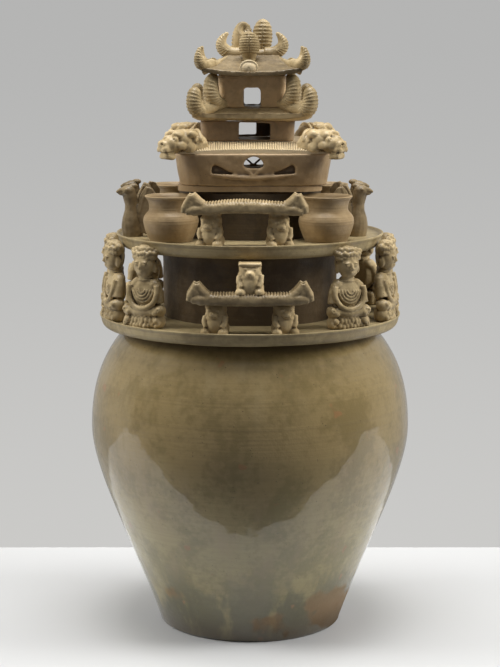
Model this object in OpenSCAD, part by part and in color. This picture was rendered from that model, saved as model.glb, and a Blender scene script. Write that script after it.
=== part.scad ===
// Hunping funerary jar of green-glazed stoneware. A thrown jar carries two ledges of moulded
// figures round its neck, and a storeyed pavilion stands in its mouth as the lid.
// Millimetres, +Z up, the front is -Y, the origin is the middle of the foot.

/* [Jar] */
// Radius of the flat foot
foot_r = 69; // [60:1:78]
// Radius at the widest point of the jar
belly_r = 120; // [110:1:132]
// Height of the widest point of the jar
belly_z = 152; // [135:1:168]
// Height of the flat top of the shoulder
shoulder_z = 228; // [208:1:250]
// Radius where the shoulder meets the lower ledge
shoulder_r = 94; // [86:1:102]
// Radius of the opening through the shoulder
mouth_r = 58; // [50:1:64]
// Thickness of the thrown wall
jar_wall = 7; // [5:0.5:10]
// Thickness of the floor of the jar
base_t = 9; // [6:0.5:14]

/* [Ledges and neck] */
// Radius of the lip of the lower ledge
lower_ledge_r = 113; // [105:1:121]
// Thickness of the lower ledge
lower_ledge_t = 8; // [6:0.5:11]
// Thickness of the upper ledge
upper_ledge_t = 8.5; // [6:0.5:11]
// Height of the raised lip of both ledges
ledge_lip = 1.6; // [1:0.1:2.2]
// How far the underside of a ledge is drawn in
ledge_flare = 5; // [3:0.5:9]
// Height of the neck above the upper ledge
upper_neck_h = 35; // [31:1:39]
// Thickness of the wall of the neck
neck_wall = 7; // [5:0.5:9]

/* [Seated figures] */
// Height of a seated figure
figure_h = 60; // [52:1:68]
// Width of a seated figure at the knees
figure_w = 33.5; // [28:0.5:37]
// Depth of a seated figure in front of its middle
figure_front = 9.5; // [8.5:0.5:12]
// Depth of a seated figure behind its middle
figure_back = 6; // [5:0.5:7]

/* [Gates] */
// Height of a bear that carries a gate roof
bear_h = 21.5; // [19:0.5:24]
// Distance between the two bears of a gate
bear_spacing = 48; // [43:1:53]
// Width of a gate roof from tip to tip
gate_roof_w = 88; // [78:1:96]
// Depth of a gate roof
gate_roof_d = 19; // [16:0.5:22]
// Thickness of a gate roof at its middle
gate_roof_t = 8; // [6:0.5:10]
// Height of the upturned corners of a gate roof
gate_ear_h = 18; // [14:0.5:21]

/* [Small jars and birds] */
// Radius of a small jar
small_jar_r = 20; // [17:0.5:22]
// Thickness of the wall of a small jar
small_jar_wall = 3; // [2:0.5:4]
// Height of a bird
bird_h = 40; // [34:1:46]

/* [Pavilion] */
// Width of the first storey at its top
first_w = 113; // [105:1:121]
// How far the walls of the first storey draw in towards its foot
first_lean = 3.5; // [2:0.5:5]
// Height of the walls of the first storey
first_h = 23.5; // [20:0.5:30]
// Corner radius of the first storey
first_corner = 22; // [16:1:28]
// Width of the second storey
second_w = 69; // [61:1:77]
// Height of the walls of the second storey
second_h = 15; // [13:0.5:20]
// Width of the third storey
third_w = 46; // [41:1:51]
// Height of the walls of the third storey
third_h = 23.5; // [20:0.5:28]
// Thickness of the walls of the first storey
wall_t = 6; // [4:0.5:8]
// Thickness of the floor plate of the lid
plate_t = 4; // [3:0.5:6]
// Length of the spigot that locates the lid in the neck
spigot_h = 8; // [5:0.5:14]

/* [Roofs] */
// How far the edge of the first roof stands inside its storey
first_roof_in = 1.5; // [0:0.5:3]
// Width of the second roof at its lip
second_roof_w = 87; // [80:1:94]
// Width of the top roof
top_roof_w = 74; // [66:1:82]
// Rise of the first roof
first_roof_h = 7.5; // [6:0.5:10]
// Rise of the second roof
second_roof_h = 9; // [7:0.5:12]
// Rise of the top roof
top_roof_h = 15; // [12:0.5:18]
// Length of the main ridge between its horns
main_ridge_l = 30; // [24:1:36]
// Size of a beast head on a corner of the first roof
beast_w = 20; // [17:0.5:23]

/* [Ribbed horns] */
// Radius of the horns on the second roof
horn_r = 5.6; // [4.5:0.1:6.5]
// Radius of the horns on the top roof
top_horn_r = 2.8; // [2.2:0.1:3.6]
// Number of ribs on a horn
horn_ribs = 6; // [4:1:8]
// Depth of a rib against the radius of its horn
rib_depth = 0.07; // [0.03:0.01:0.1]
// Height of the buds at the middle of the main ridge
bud_h = 22; // [18:0.5:26]

/* [Fits] */
// Gap under pieces that rest on curved or sloping faces
seat_gap = 0.3; // [0.2:0.05:0.5]
// Radial clearance of the spigot in the neck
spigot_gap = 0.8; // [0.5:0.1:1.5]

/* [Hidden] */
$fn = 48;
curve_steps = 12;
coil_sides = 10;
celadon = [0.62, 0.56, 0.36];
pale_celadon = [0.74, 0.67, 0.45];
dark_celadon = [0.45, 0.39, 0.22];

// Heights of the stack, from the shoulder up to the top roof
lower_neck_h = figure_h;
lower_floor_z = shoulder_z + lower_ledge_t;
upper_ledge_z = shoulder_z + lower_neck_h;
upper_floor_z = upper_ledge_z + upper_ledge_t;
lid_z = upper_floor_z + upper_neck_h + seat_gap;
first_z = lid_z + plate_t;
first_roof_z = first_z + first_h;
second_z = first_roof_z + first_roof_h;
second_roof_z = second_z + second_h;
third_z = second_roof_z + second_roof_h;
top_roof_z = third_z + third_h;
ridge_z = top_roof_z + top_roof_h;

// Radii that follow from one another, from the lower ledge inwards; the lip of the upper ledge
// comes over the middle of the seated figures, whose heads lean out past it
lip_w = 2 * ledge_lip;
lower_neck_r = mouth_r + neck_wall;
figure_ring_r = lower_ledge_r - lip_w - figure_front;
upper_ledge_r = figure_ring_r - seat_gap;
small_jar_ring_r = upper_ledge_r - lip_w - small_jar_r;
upper_neck_gap = 4;
upper_neck_r = small_jar_ring_r - small_jar_r - upper_neck_gap;
bore_r = upper_neck_r - neck_wall;
small_jar_lid_gap = 2;
small_jar_h = upper_neck_h - small_jar_lid_gap;

// Where things stand round the jar, as angles from the front
figure_angles = [46, 72, 98, 126];
back_right_angle = 119;
figure_turn = 22;
small_jar_angles = [48, 132];
bird_angles = [76, 104];
upper_gate_turn = -2.4;

// Shape of the foot and the shoulder
foot_h = 3;
foot_bevel = 1.5;
shoulder_round = 2;

// Width of the first roof and thickness of its edge
first_roof_w = first_w - 2 * first_roof_in;
first_eave_t = 2.5;

// Size of a bear before it is scaled
bear_w = 21.6;
bear_front = 9;

function bezier(a, b, c, d, t) =
    a * pow(1 - t, 3) + b * 3 * t * pow(1 - t, 2) + c * 3 * t * t * (1 - t) + d * pow(t, 3);

function curve(a, b, c, d) = [for (i = [0:curve_steps]) bezier(a, b, c, d, i / curve_steps)];

function reversed(list) = [for (i = [len(list) - 1:-1:0]) list[i]];

// Wall from the foot to the belly, nearly straight below and upright at the belly
function lower_wall(r, z, belly) = curve(
    [r, z],
    [r + 0.43 * (belly - r), z + 0.42 * (belly_z - z)],
    [belly, z + 0.77 * (belly_z - z)],
    [belly, belly_z]);

// Wall from the belly over the shoulder
function shoulder_wall(belly, r, z) = curve(
    [belly, belly_z],
    [belly, belly_z + 0.45 * (z - belly_z)],
    [r + 0.67 * (belly - r), belly_z + 0.73 * (z - belly_z)],
    [r, z]);

function jar_profile() = concat(
    [[0, 0], [foot_r - foot_bevel, 0]],
    lower_wall(foot_r, foot_h, belly_r),
    shoulder_wall(belly_r, shoulder_r, shoulder_z - shoulder_round),
    [[shoulder_r - shoulder_round, shoulder_z], [mouth_r, shoulder_z]],
    [[mouth_r, shoulder_z - jar_wall]],
    reversed(shoulder_wall(belly_r - jar_wall, shoulder_r - 2 * jar_wall, shoulder_z - jar_wall)),
    reversed(lower_wall(foot_r - jar_wall, base_t, belly_r - jar_wall)),
    [[0, base_t]]);

// Section of a ledge: coved underside, thin raised lip, level floor
function ledge_profile(inner, outer, t) = [
    [inner, 0],
    [outer - ledge_flare, 0],
    [outer - 0.4 * ledge_flare, 0.5 * t],
    [outer - 0.1 * ledge_flare, 0.85 * t],
    [outer, t + 0.6 * ledge_lip],
    [outer - 0.5 * ledge_lip, t + ledge_lip],
    [outer - 1.5 * ledge_lip, t + 0.4 * ledge_lip],
    [outer - lip_w, t],
    [inner, t]];

module place(angle, radius, z) {
    rotate([0, 0, angle]) translate([0, -radius, z]) children();
}

// Keeps what lies above the floor, below a height and in front of a flat back
module trim(half_w, front, back, h) {
    intersection() {
        children();
        translate([-half_w, -front, 0]) cube([2 * half_w, front + back, h]);
    }
}

module mirrored_pair() {
    children();
    mirror([1, 0, 0]) children();
}

// Round bar between two points
module bar(a, b, r1, r2) {
    run = b - a;
    flat = norm([run.x, run.y]);
    translate(a)
        rotate([0, atan2(flat, run.z), atan2(run.y, run.x)])
            cylinder(h = norm(run), r1 = r1, r2 = r2);
}

module ball(at, r) {
    translate(at) sphere(r);
}

// The jar, its ledges and its neck

module jar_body() {
    color(celadon) rotate_extrude() polygon(jar_profile());
}

module lower_ledge() {
    color(celadon) translate([0, 0, shoulder_z])
        rotate_extrude() polygon(ledge_profile(lower_neck_r + seat_gap, lower_ledge_r, lower_ledge_t));
}

module lower_neck() {
    flare = 5;
    color(dark_celadon) translate([0, 0, shoulder_z]) rotate_extrude() polygon([
        [mouth_r, 0],
        [lower_neck_r, 0],
        [lower_neck_r, 0.8 * lower_neck_h],
        [lower_neck_r + 0.3 * flare, 0.92 * lower_neck_h],
        [lower_neck_r + flare, lower_neck_h],
        [mouth_r, lower_neck_h]]);
}

module upper_ledge() {
    color(celadon) translate([0, 0, upper_ledge_z])
        rotate_extrude() polygon(ledge_profile(bore_r, upper_ledge_r, upper_ledge_t));
}

module upper_neck() {
    rim = 1.5;
    color(dark_celadon) translate([0, 0, upper_floor_z]) rotate_extrude() polygon([
        [bore_r, 0],
        [upper_neck_r, 0],
        [upper_neck_r, upper_neck_h - rim],
        [upper_neck_r - rim, upper_neck_h],
        [bore_r, upper_neck_h]]);
}

// Seated figure with folded hands on a throne with two lion heads, flat-backed from its mould
module figure_shape() {
    knee_x = figure_w / 2 - 5.2;
    knee_z = 0.33 * figure_h;
    shoulder_h = 0.62 * figure_h;
    head_z = 0.8 * figure_h;
    pad_top = lower_neck_h - lower_ledge_t - seat_gap;
    trim(figure_w / 2, figure_front, figure_back, figure_h) {
        translate([-0.28 * figure_w, 3.5 - figure_front, 0])
            cube([0.56 * figure_w, figure_front + figure_back, 0.26 * figure_h]);
        ball([0, -3.5, 0.13 * figure_h], 5.6);
        mirrored_pair() {
            ball([knee_x, -3, 0.12 * figure_h], 5.1);
            ball([knee_x - 1, -5.5, 0.1 * figure_h], 3.4);
            ball([knee_x, -2.6, knee_z], 5.1);
            bar([7.4, 0, shoulder_h], [knee_x, -1.4, knee_z + 4], 4.6, 3.4);
            bar([knee_x, -2.4, knee_z + 4], [1.5, -6.4, knee_z + 3.6], 3, 2.2);
            ball([7, 0.4, 0.96 * shoulder_h], 5);
            ball([7.2, 0.8, head_z - 3], 1.9);
        }
        bar([-knee_x, -2.6, knee_z - 0.6], [knee_x, -2.6, knee_z - 0.6], 4.6, 4.6);
        translate([0, 0.2, knee_z - 3]) cylinder(h = shoulder_h - knee_z + 5, r1 = 9.4, r2 = 8.2);
        translate([0, 0.4, shoulder_h]) cylinder(h = head_z - shoulder_h, r = 4.6);
        ball([0, -1.6, head_z - 3.4], 5.9);
        ball([0, -2, head_z + 0.6], 7.4);
        ball([0, -3.6, 0.94 * figure_h], 4.4);
        translate([-8.5, 0, head_z - 8]) cube([17, figure_back, pad_top - head_z + 8]);
    }
}

module figure_at(angle, turn = 0) {
    color(pale_celadon) place(angle, figure_ring_r, lower_floor_z) rotate([0, 0, turn]) figure_shape();
}

module seated_figure_front_right() { figure_at(figure_angles[0], -figure_turn); }
module seated_figure_front_side_right() { figure_at(figure_angles[1]); }
module seated_figure_back_side_right() { figure_at(figure_angles[2]); }
module seated_figure_back_right() { figure_at(back_right_angle, figure_turn); }
module seated_figure_front_left() { figure_at(-figure_angles[0], figure_turn); }
module seated_figure_front_side_left() { figure_at(-figure_angles[1]); }
module seated_figure_back_side_left() { figure_at(-figure_angles[2]); }
module seated_figure_back_left() { figure_at(-figure_angles[3], -figure_turn); }

// Squatting bear with raised paws, cut flat on top where it carries a roof
module bear_shape(back) {
    head_z = 0.66 * bear_h;
    trim(bear_w / 2, bear_front, back, bear_h) {
        cylinder(h = bear_h + 2, r1 = 8.2, r2 = 7.4);
        ball([0, -2, head_z], 7.4);
        bar([0, -6, head_z - 1], [0, -9.4, head_z - 1.6], 3.6, 2.6);
        bar([-4.6, -6.4, head_z + 2.6], [4.6, -6.4, head_z + 2.6], 1.9, 1.9);
        mirrored_pair() {
            ball([6, -2, 0.24 * bear_h], 4.3);
            ball([5.4, -5.6, 2], 3);
            bar([8, -0.5, 0.24 * bear_h], [8.2, -1.6, 0.8 * bear_h], 2.9, 2.5);
            ball([7.8, -2.2, 0.8 * bear_h], 2.8);
        }
    }
}

module bear_at(angle, side, ring_r, z) {
    color(pale_celadon) place(angle + side * asin(bear_spacing / 2 / ring_r), ring_r, z)
        bear_shape(figure_back);
}

// Saddle-backed roof slab with an upturned ear at each of its four corners
module gate_roof_shape(back) {
    tip = gate_roof_w / 2;
    ear_in = 0.72 * tip;
    ear_at = 0.86 * tip;
    ear_t = 0.3 * gate_roof_d;
    translate([0, back, 0]) rotate([90, 0, 0]) linear_extrude(gate_roof_d) polygon(concat(
        [[-0.7 * tip, 0], [0.7 * tip, 0], [0.95 * tip, 0.3 * gate_roof_t]],
        [for (i = [8:-1:-8]) [i / 8 * 0.95 * tip, gate_roof_t * (1 + 0.3 * i * i / 64)]],
        [[-0.95 * tip, 0.3 * gate_roof_t]]));
    for (y = [back, back - gate_roof_d + ear_t])
        mirrored_pair()
            translate([0, y, 0]) rotate([90, 0, 0]) linear_extrude(ear_t) polygon([
                [ear_in, 0.8 * gate_roof_t],
                [tip - 3, 0.4 * gate_roof_t],
                [tip, 0.55 * gate_roof_t],
                [ear_at + 2, gate_ear_h - 0.8],
                [ear_at, gate_ear_h],
                [ear_at - 1.6, gate_ear_h - 0.8],
                [ear_in + 2, 0.6 * gate_ear_h]]);
}

lower_roof_z = lower_floor_z + bear_h;

top_bear_z = lower_roof_z + gate_roof_t + seat_gap;

// The bear on the lower gate roof reaches up to the ledge above it
top_bear_scale = (upper_ledge_z - seat_gap - top_bear_z) / bear_h;

module lower_gate_roof_at(angle) {
    color(celadon) place(angle, figure_ring_r, lower_roof_z)
        gate_roof_shape(gate_roof_d - figure_front);
}

module top_bear_at(angle) {
    color(pale_celadon) place(angle, figure_ring_r, top_bear_z)
        scale(top_bear_scale) bear_shape((figure_back - seat_gap) / top_bear_scale);
}

module lower_gate_front_left_bear() { bear_at(0, -1, figure_ring_r, lower_floor_z); }
module lower_gate_front_right_bear() { bear_at(0, 1, figure_ring_r, lower_floor_z); }
module lower_gate_front_roof() { lower_gate_roof_at(0); }
module lower_gate_front_top_bear() { top_bear_at(0); }
module lower_gate_back_left_bear() { bear_at(180, 1, figure_ring_r, lower_floor_z); }
module lower_gate_back_right_bear() { bear_at(180, -1, figure_ring_r, lower_floor_z); }
module lower_gate_back_roof() { lower_gate_roof_at(180); }
module lower_gate_back_top_bear() { top_bear_at(180); }

upper_gate_ring_r = upper_ledge_r - lip_w - bear_front;

upper_gate_angles = [upper_gate_turn, 180 + upper_gate_turn];

module upper_gate_roof_at(angle) {
    color(celadon) place(angle, upper_gate_ring_r, upper_floor_z + bear_h)
        gate_roof_shape(gate_roof_d - bear_front);
}

module upper_gate_front_left_bear() { bear_at(upper_gate_angles[0], -1, upper_gate_ring_r, upper_floor_z); }
module upper_gate_front_right_bear() { bear_at(upper_gate_angles[0], 1, upper_gate_ring_r, upper_floor_z); }
module upper_gate_front_roof() { upper_gate_roof_at(upper_gate_angles[0]); }
module upper_gate_back_left_bear() { bear_at(upper_gate_angles[1], 1, upper_gate_ring_r, upper_floor_z); }
module upper_gate_back_right_bear() { bear_at(upper_gate_angles[1], -1, upper_gate_ring_r, upper_floor_z); }
module upper_gate_back_roof() { upper_gate_roof_at(upper_gate_angles[1]); }

// Small open jar with a waisted neck and a flared lip
module small_jar_at(angle) {
    r = small_jar_r;
    h = small_jar_h;
    wall = small_jar_wall;
    outside = concat(
        curve([0.66 * r, 0], [0.9 * r, 0.12 * h], [r, 0.28 * h], [r, 0.46 * h]),
        curve([r, 0.46 * h], [r, 0.7 * h], [0.78 * r, 0.68 * h], [0.78 * r, 0.8 * h]),
        [[0.93 * r, 0.95 * h], [0.92 * r, h]]);
    inside = [for (p = outside) [p.x - wall, p.y]];
    color(celadon) place(angle, small_jar_ring_r, upper_floor_z) rotate_extrude() polygon(concat(
        [[0, 0]],
        outside,
        [for (p = reversed(inside)) if (p.y > wall) p],
        [[0.66 * r - wall, wall], [0, wall]]));
}

module small_jar_front_right() { small_jar_at(small_jar_angles[0]); }
module small_jar_back_right() { small_jar_at(small_jar_angles[1]); }
module small_jar_front_left() { small_jar_at(-small_jar_angles[0]); }
module small_jar_back_left() { small_jar_at(-small_jar_angles[1]); }

// Perched bird, breast outwards, with both wings raised
module bird_shape() {
    wing_t = 3;
    trim(18, 15, 12, bird_h) {
        translate([0, 1, 0]) cylinder(h = 0.3 * bird_h, r1 = 7, r2 = 8.4);
        ball([0, -0.5, 0.36 * bird_h], 9);
        bar([0, -0.5, 0.4 * bird_h], [0, -3, 0.76 * bird_h], 8, 4.8);
        ball([0, -4, 0.8 * bird_h], 5.6);
        bar([0, -7, 0.8 * bird_h], [0, -14.5, 0.76 * bird_h], 3.6, 1);
        mirrored_pair()
            translate([3, 0, 0]) rotate([0, 15, 0]) rotate([90, 0, 90]) linear_extrude(wing_t) polygon([
                [-6, 0.24 * bird_h],
                [9, 0.1 * bird_h],
                [11, 0.5 * bird_h],
                [9, 0.84 * bird_h],
                [4, 0.97 * bird_h],
                [-2, 0.94 * bird_h],
                [-5, 0.7 * bird_h]]);
    }
}

bird_ring_r = upper_ledge_r - lip_w - 0.2 * bird_h;

module bird_at(angle) {
    color(pale_celadon) place(angle, bird_ring_r, upper_floor_z) bird_shape();
}

module bird_front_right() { bird_at(bird_angles[0]); }
module bird_back_right() { bird_at(bird_angles[1]); }
module bird_front_left() { bird_at(-bird_angles[0]); }
module bird_back_left() { bird_at(-bird_angles[1]); }

// The pavilion, from its floor plate up

module rounded_square(half, r) {
    inner = half - r;
    square([2 * half, 2 * inner], center = true);
    square([2 * inner, 2 * half], center = true);
    for (x = [-inner, inner], y = [-inner, inner])
        translate([x, y]) circle(r);
}

module lid_plate() {
    inset = first_lean + 0.5;
    spigot_r = bore_r - spigot_gap;
    spigot_wall = 6;
    color(dark_celadon) translate([0, 0, lid_z]) {
        linear_extrude(plate_t) rounded_square(first_w / 2 - inset, first_corner - inset);
        translate([0, 0, -spigot_h]) rotate_extrude() polygon([
            [spigot_r - spigot_wall, 0],
            [spigot_r - 1, 0],
            [spigot_r, 2],
            [spigot_r, spigot_h + 1],
            [spigot_r - spigot_wall, spigot_h + 1]]);
    }
}

// Square-plan solid whose outline seen from the front and from the side is given
module crossed(front_outline, side_outline) {
    reach = 200;
    intersection() {
        rotate([90, 0, 0]) linear_extrude(reach, center = true) polygon(front_outline);
        rotate([90, 0, 90]) linear_extrude(reach, center = true) polygon(side_outline);
    }
}

// Cuts a window shape to a depth into the front wall, and again into the back wall
module windows(half, depth) {
    for (turn = [0, 180])
        rotate([0, 0, turn])
            translate([0, depth - half, 0]) rotate([90, 0, 0]) linear_extrude(depth + 6) children();
}

module storey(w, h, corner, wall) {
    difference() {
        linear_extrude(h) rounded_square(w / 2, corner);
        translate([0, 0, -1]) linear_extrude(h + 2) rounded_square(w / 2 - wall, corner - wall);
    }
}

module first_storey() {
    half = first_w / 2;
    foot_half = half - first_lean;
    leaning = [[-foot_half, 0], [foot_half, 0], [half, first_h], [-half, first_h]];
    sill_z = 0.25 * first_h;
    sill_end = 0.28 * first_w;
    sill_t = 1.6;
    eye_r = 5.6;
    color(celadon) translate([0, 0, first_z]) difference() {
        union() {
            intersection() {
                storey(first_w, first_h, first_corner, wall_t + first_lean);
                crossed(leaning, leaning);
            }
            for (turn = [0, 180])
                rotate([0, 0, turn]) translate([0, 4 - half, 0]) rotate([90, 0, 0])
                    linear_extrude(3) polygon([
                        [-sill_end, sill_z + 2],
                        [0, sill_z],
                        [sill_end, sill_z + 2],
                        [sill_end, sill_z + 2 + sill_t],
                        [0, sill_z + sill_t],
                        [-sill_end, sill_z + 2 + sill_t]]);
        }
        windows(half, wall_t + first_lean + 1) {
            translate([0, 0.72 * first_h]) circle(eye_r);
            polygon([[-0.9 * eye_r, 0.68 * first_h], [0, sill_z + 2.4], [0.9 * eye_r, 0.68 * first_h]]);
        }
        windows(half, first_lean + 2)
            mirrored_pair() polygon([
                [0.26 * first_w, sill_z + 4.2],
                [0.24 * first_w, 0.68 * first_h],
                [0.16 * first_w, sill_z + 5.2],
                [0.09 * first_w, sill_z + 2.8]]);
    }
}

// Section of a roof: eave edge, hollow slope, flat top
function roof_outline(under, eave, eave_z, lip_z, top, rise) =
    let (right = [
        [under, 0],
        [eave, eave_z],
        [eave, lip_z],
        [top + 0.6 * (eave - top), lip_z + 0.3 * (rise - lip_z)],
        [top + 0.3 * (eave - top), lip_z + 0.62 * (rise - lip_z)],
        [top, rise]])
    concat(right, [for (p = reversed(right)) [-p.x, p.y]]);

module first_roof_shape() {
    half = first_roof_w / 2;
    outline = roof_outline(half, half, 0, first_eave_t, second_w / 2 + 2, first_roof_h);
    crossed(outline, outline);
}

module first_roof() {
    color(celadon) translate([0, 0, first_roof_z]) first_roof_shape();
}

// Beast head with brow, muzzle and mane, turned outwards along the diagonal of the roof
module beast_shape() {
    u = beast_w / 20;
    scale(u) {
        ball([0, 4, 4], 9.6);
        ball([0, -4, 3.4], 8.4);
        bar([0, -6, 2.6], [0, -15, -0.6], 7, 5);
        bar([0, -6, -2], [0, -13, -5.2], 5, 3.6);
        ball([0, -14.6, 1.4], 3.4);
        mirrored_pair() {
            ball([4.2, -9, 7.4], 3);
            ball([7.6, -1, 9.6], 3.4);
            ball([8, 2, 1], 3.8);
        }
    }
}

// Level with the hip of the first roof inside its edge, so that a beast rests on the hip
module beast_seat(angle) {
    fall = atan2(0.6 * (first_roof_h - first_eave_t), 0.7 * (first_roof_w - second_w) / sqrt(2));
    intersection() {
        linear_extrude(60, center = true) square(first_roof_w + 2 * seat_gap, center = true);
        place(angle, first_roof_w / sqrt(2), first_eave_t + seat_gap)
            rotate([fall, 0, 0]) translate([-50, -50, -50]) cube([100, 120, 50]);
    }
}

module beast_at(angle) {
    reach = (first_roof_w / 2 - 3) * sqrt(2);
    color(pale_celadon) translate([0, 0, first_roof_z]) difference() {
        place(angle, reach, first_eave_t) beast_shape();
        beast_seat(angle);
    }
}

module beast_front_right() { beast_at(45); }
module beast_back_right() { beast_at(135); }
module beast_front_left() { beast_at(-45); }
module beast_back_left() { beast_at(-135); }

module second_storey() {
    window_w = 23;
    window_off = 4;
    color(celadon) translate([0, 0, second_z]) difference() {
        storey(second_w, second_h, 8, wall_t - 1.5);
        windows(second_w / 2, wall_t + 1)
            translate([window_off - window_w / 2, 0.08 * second_h]) square([window_w, 0.84 * second_h]);
    }
}

module second_roof() {
    half = second_roof_w / 2;
    outline = roof_outline(half - 7, half, 5, 5.8, third_w / 2 + 1.5, second_roof_h);
    color(celadon) translate([0, 0, second_roof_z]) crossed(outline, outline);
}

module third_storey() {
    window_half = 6.3;
    cut = 2;
    low = 0.04 * third_h;
    high = 0.62 * third_h;
    color(celadon) translate([0, 0, third_z]) difference() {
        storey(third_w, third_h, 6, wall_t - 2);
        windows(third_w / 2, wall_t + 1) polygon([
            [-window_half, low],
            [window_half, low],
            [window_half, high - cut],
            [window_half - cut, high],
            [cut - window_half, high],
            [-window_half, high - cut]]);
    }
}

module top_roof_shape() {
    half = top_roof_w / 2;
    front = roof_outline(half - 3, half, 2, 3.6, main_ridge_l / 2 + 4, top_roof_h);
    side = roof_outline(half - 3, half, 2, 3.6, 5, top_roof_h);
    crossed(front, side);
}

module top_roof() {
    color(celadon) translate([0, 0, top_roof_z]) top_roof_shape();
}

// Coil of clay swept along a path of [x, z, heading], one radius for each point of the path
module coil(path, radii) {
    last = len(path) - 1;
    points = concat(
        [for (i = [0:last], j = [0:coil_sides - 1])
            let (a = 360 * j / coil_sides, out = radii[i] * cos(a), h = path[i][2])
            [path[i][0] - out * sin(h), radii[i] * sin(a), path[i][1] + out * cos(h)]],
        [[path[0][0], 0, path[0][1]], [path[last][0], 0, path[last][1]]]);
    start = len(points) - 2;
    faces = concat(
        [for (i = [0:last - 1], j = [0:coil_sides - 1])
            let (a = i * coil_sides + j, b = i * coil_sides + (j + 1) % coil_sides)
            [a, b, a + coil_sides]],
        [for (i = [0:last - 1], j = [0:coil_sides - 1])
            let (a = i * coil_sides + j, b = i * coil_sides + (j + 1) % coil_sides)
            [b, b + coil_sides, a + coil_sides]],
        [for (j = [0:coil_sides - 1]) [start, (j + 1) % coil_sides, j]],
        [for (j = [0:coil_sides - 1])
            let (row = last * coil_sides)
            [start + 1, row + j, row + (j + 1) % coil_sides]]);
    polyhedron(points, faces);
}

horn_steps = 2 * horn_ribs + 8;
horn_turn = 140;

// Path of a horn that curls up from a heading, starting at a point
function horn_path(from, heading, bend) = [for (i = [0:horn_steps])
    let (h = heading + (horn_turn - heading) * i / horn_steps)
    [from.x + bend * (sin(h) - sin(heading)), from.y + bend * (cos(heading) - cos(h)), h]];

// Radii of a horn: a plain stem, a ribbed head, a rounded tip
function horn_radii(stem, head, tip) = [for (i = [0:horn_steps])
    let (t = i / horn_steps, rib = i % 2 == 0 ? 1 + rib_depth : 1 - rib_depth)
    t < 0.3 ? stem + (head - stem) * t / 0.3 :
    t < 0.9 ? rib * (head + (tip - head) * pow((t - 0.3) / 0.6, 2)) :
    tip * (1 - 0.75 * (t - 0.85) / 0.15)];

// Hip ridge of the second roof: a low coil that ends in a horn, with a second horn at its inner end
module second_hip_at(angle) {
    inner = (third_w / 2 + 1.5) * sqrt(2);
    corner = second_roof_w / 2 * sqrt(2);
    drop = second_roof_h - 5.8;
    ridge_r = 0.6 * horn_r;
    slope = -atan2(drop, corner - inner);
    lift = second_roof_h + ridge_r + seat_gap;
    bend = 1.6 * horn_r;
    turn_at = corner - bend + 0.6;
    end = [turn_at, lift - (turn_at - inner) * tan(-slope)];
    begin = [inner + 0.4, lift];
    color(pale_celadon) translate([0, 0, second_roof_z]) rotate([0, 0, angle - 90]) {
        coil(concat([[begin.x, begin.y, slope]], horn_path(end, slope, bend)),
            concat([ridge_r], horn_radii(ridge_r, horn_r, 0.8 * horn_r)));
        coil(horn_path(begin + [3, 2], 0, 0.8 * bend), horn_radii(ridge_r, horn_r, 0.8 * horn_r));
    }
}

module second_hip_front_right() { second_hip_at(45); }
module second_hip_back_right() { second_hip_at(135); }
module second_hip_front_left() { second_hip_at(-45); }
module second_hip_back_left() { second_hip_at(-135); }

// Main ridge of the top roof, curling up into a ribbed horn at each end
module main_ridge() {
    half = main_ridge_l / 2;
    head_r = 1.65 * top_horn_r;
    ridge_r = 0.82 * head_r;
    right = horn_path([half, 0], 0, 2 * head_r);
    radii = horn_radii(ridge_r, head_r, 0.35 * head_r);
    left = [for (p = reversed(right)) [-p[0], p[1], -p[2]]];
    color(pale_celadon) translate([0, 0, ridge_z + ridge_r + seat_gap])
        coil(concat(left, right), concat(reversed(radii), radii));
}

// Thin hip ridge of the top roof, ending in a slim ribbed horn at the corner
module top_hip_at(angle) {
    side = angle > 0 ? 1 : -1;
    half = top_roof_w / 2;
    start_x = main_ridge_l / 2 + 4;
    run = norm([half - start_x, half - 5]);
    slope = -atan2(top_roof_h - 3.6, run);
    turn = atan2(half - 5, half - start_x);
    bend = 2.8 * top_horn_r;
    lift = top_roof_h + top_horn_r + seat_gap;
    first = 0.3 * run;
    last = run - bend + 1.5;
    front = abs(angle) < 90 ? -1 : 1;
    color(pale_celadon) translate([side * start_x, front * 5, top_roof_z])
        rotate([0, 0, atan2(front * sin(turn), side * cos(turn))])
            coil(concat([[first, lift + first * tan(slope), slope]],
                    horn_path([last, lift + last * tan(slope)], slope, bend)),
                concat([top_horn_r], horn_radii(top_horn_r, top_horn_r, 0.6 * top_horn_r)));
}

module top_hip_front_right() { top_hip_at(45); }
module top_hip_back_right() { top_hip_at(135); }
module top_hip_front_left() { top_hip_at(-45); }
module top_hip_back_left() { top_hip_at(-135); }

// Ribbed bud, turned in section and seated on the slope of the top roof
module bud_at(at, lean, h) {
    r = 0.34 * bud_h;
    steps = 2 * horn_ribs;
    color(pale_celadon) translate([0, 0, top_roof_z]) difference() {
        translate(at) rotate(lean) rotate_extrude() polygon(concat(
            [[0, -6], [0.62 * r, -6], [0.62 * r, 0.1 * h], [0.98 * r, 0.42 * h]],
            [for (i = [1:steps])
                let (t = i / (steps + 1), rib = i % 2 == 0 ? 1 : 1 - 2 * rib_depth)
                [rib * r * cos(85 * t), h * (0.42 + 0.58 * sin(85 * t))]],
            [[0, h]]));
        translate([0, 0, seat_gap]) top_roof_shape();
    }
}

bud_y = 10;

module bud_front() { bud_at([0, -bud_y, top_roof_h - 2], [4, 0, 0], bud_h - 1); }
module bud_back_right() { bud_at([11, bud_y, top_roof_h - 2], [-4, 6, 0], bud_h + 8); }
module bud_back_left() { bud_at([-6, bud_y, top_roof_h - 2], [-4, -6, 0], bud_h + 5); }

// Rounded boss low on the front slope of the top roof
module front_boss() {
    r = 6;
    color(pale_celadon) translate([0, 0, top_roof_z]) difference() {
        ball([0, r - top_roof_w / 2, 6], r);
        translate([0, 0, seat_gap]) top_roof_shape();
        top_roof_shape();
    }
}

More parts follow.
